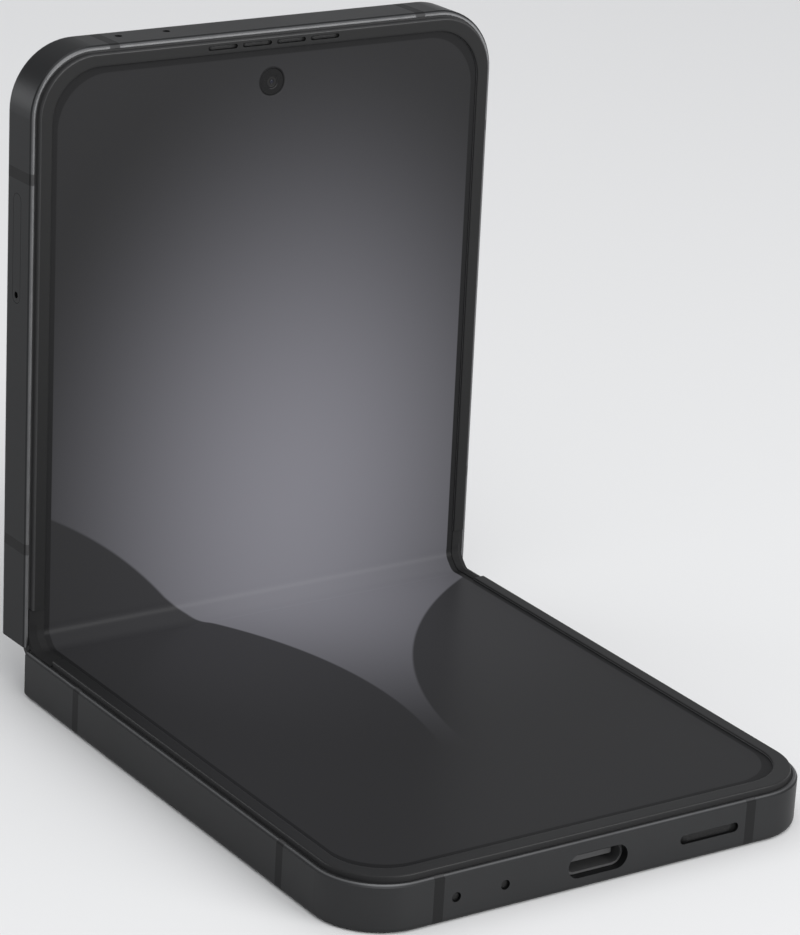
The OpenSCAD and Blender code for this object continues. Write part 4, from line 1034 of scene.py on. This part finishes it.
def rear_windows():
    """A profile (radius, depth) spun about both disc centres; depth grows inwards from the outer face."""
    discs = half_coords("camera_lenses")
    middle_x = (discs[:, 0].min() + discs[:, 0].max()) / 2
    points, faces, uv = [], [], []
    for side in (discs[:, 0] < middle_x, discs[:, 0] > middle_x):
        low, high = discs[side].min(0), discs[side].max(0)
        radius, depth = (high[0] - low[0]) / 2, high[2] - low[2]
        profile = np.array([[0, 0.16], [0.6, 0.172], [1.2, 0.21], [1.8, 0.28], [1.95, 0.32], [2.2, 0.3],
                            [2.9, 0.07], [3.0, 0.05], [3.05, 0.0], [radius - 0.08, 0.0], [radius, 0.08],
                            [radius, depth], [radius / 2, depth], [0, depth]]) + [0, low[2]]
        disc = spun(profile, *(low + high)[:2] / 2, REAR_UV, 64)
        faces.append(disc[1] + sum(len(p) for p in points))
        points.append(disc[0])
        uv.append(disc[2])
    return recalculated(make_piece("rear_camera_windows", *map(np.concatenate, (points, faces, uv))), 10)


rear_glass = rear_windows()
rear_glass.data.materials.append(ringed_glass(
    "rear_window_glass", REAR_UV,
    [((1.93, 1.97, 2.93, 2.97), (0.035, 0.035, 0.037), 50.0), ((3.1, 3.14, 3.24, 3.28), (0.09, 0.09, 0.092), 0),
     ((-2, -1, 0.5, 1.5), (0.01, 0.022, 0.034), 0)],
    (0.005, 0.005, 0.0055), 0.03, 0.1, IOR=1.55, Coat_Weight=0.3))
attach(rear_glass, "upper_half")
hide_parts("camera_lenses")
print("rear windows:", len(rear_glass.data.polygons), "faces")

# %% [markdown]
# ## Dust cloth in the sound holes
# The microphone holes, the loudspeaker's slot and the earpiece's slots are not open pits. A fine cloth
# closes each of them just under the surface. Each cloth is a slightly crowned plate with round ends.

# %% The cloths
END_HOLES = {"lower": (on_lower, [(-21.2, -3.3, 1.3, 1.3), (-14.0, -3.3, 1.3, 1.3), (17.35, -3.3, 9.2, 1.3)]),
             "upper": (on_upper, [(-21.2, -3.75, 1.04, 1.04), (-14.0, -3.75, 1.04, 1.04)])}
CROWN, FIT = 0.04, 0.03


def cloths(name, place, holes, inset=0.34, thickness=0.12):
    """For each hole a stadium (x, v): rings shrink to its middle, and the front rises by CROWN (1 - share^2)."""
    points, faces = [], []
    shares = np.array([0.0, 0.35, 0.7, 1.0, 1.0, 0.0])
    depth = np.array([*(CROWN * (1 - shares[:4] ** 2)), -thickness, -thickness])
    for x0, v0, length, height in holes:
        ring = stadium(length, height, FIT)
        x, v = (shares[:, None] * ring[:, k] + at for k, at in ((0, x0), (1, v0)))
        u = np.broadcast_to((FAR_U - inset + depth)[:, None], x.shape)
        faces += (grid_faces(*x.shape, closed=True) + len(points) * x.size).tolist()
        points.append(place(x, u, v).reshape(-1, 3))
    return recalculated(make_piece(name, np.concatenate(points), faces))


def in_the_ear(x, depth, u):
    """The earpiece's cloth lies flat, so its depth runs along v: at FAR_U it is level with the bezel's top."""
    return on_upper(x, u, depth - FAR_U + BEZEL_RISE)


all_cloths = [(half, cloths(f"{half}_dust_cloths", *END_HOLES[half])) for half in END_HOLES]
all_cloths.append(("upper", cloths("earpiece_cloths", in_the_ear, EAR_HOLES, inset=0.17)))
for half, cloth in all_cloths:
    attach(cloth, f"{half}_half")
    cloth.data.materials.append(dust_cloth)
    print(cloth.name, len(cloth.data.polygons), "faces")

# %% [markdown]
# ## Dress the CAD pieces
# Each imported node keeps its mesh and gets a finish. One table says which.

# %% The table of finishes
def on_both(*parts):
    """The names of nodes that each half has."""
    return [f"{half}_{part}" for half in ("lower", "upper") for part in parts]


FINISHES = {
    lower_metal: ["lower_frame"],
    upper_metal: ["upper_frame", "sim_tray", "volume_key", "power_key", "camera_rings"],
    spine_metal: ["spine_cover"],
    flex_film: on_both("flex_cable"),
    lower_band: ["lower_antenna_bands"],
    upper_band: ["upper_antenna_bands"],
    cap_plastic: ["spine_end_caps"],
    port_metal: ["usb_port"],
    inner_plastic: ["loudspeaker", "earpiece_speaker", "board_shields", "rear_camera_modules", "front_camera",
                    "key_switches", *on_both("microphones")],
    steel: ["hinge_brackets", "gear_shafts", "disc_springs", "fold_support", "vibration_motor", "sim_reader",
            *on_both("wing_plate", "rotators", "sync_arms", "idler_gears", "hinge_screws", "magnets")],
    copper: ["charging_coil"],
    battery_foil: on_both("battery"),
    board: ["sub_board", "main_board"],
    mesh_cloth: ["loudspeaker_mesh", "earpiece_mesh"],
    back_glass: ["lower_back_glass"],
    outer_glass: ["cover_glass"],
    cover_window: ["cover_display"],
    flash_lens: ["flash_window"],
}
dressed = set()
for finish, names in FINISHES.items():
    for name in names:
        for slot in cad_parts[name].material_slots:
            slot.material = finish
        dressed.add(name)
print("undressed:", sorted(n for n in set(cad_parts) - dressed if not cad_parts[n].hide_render))
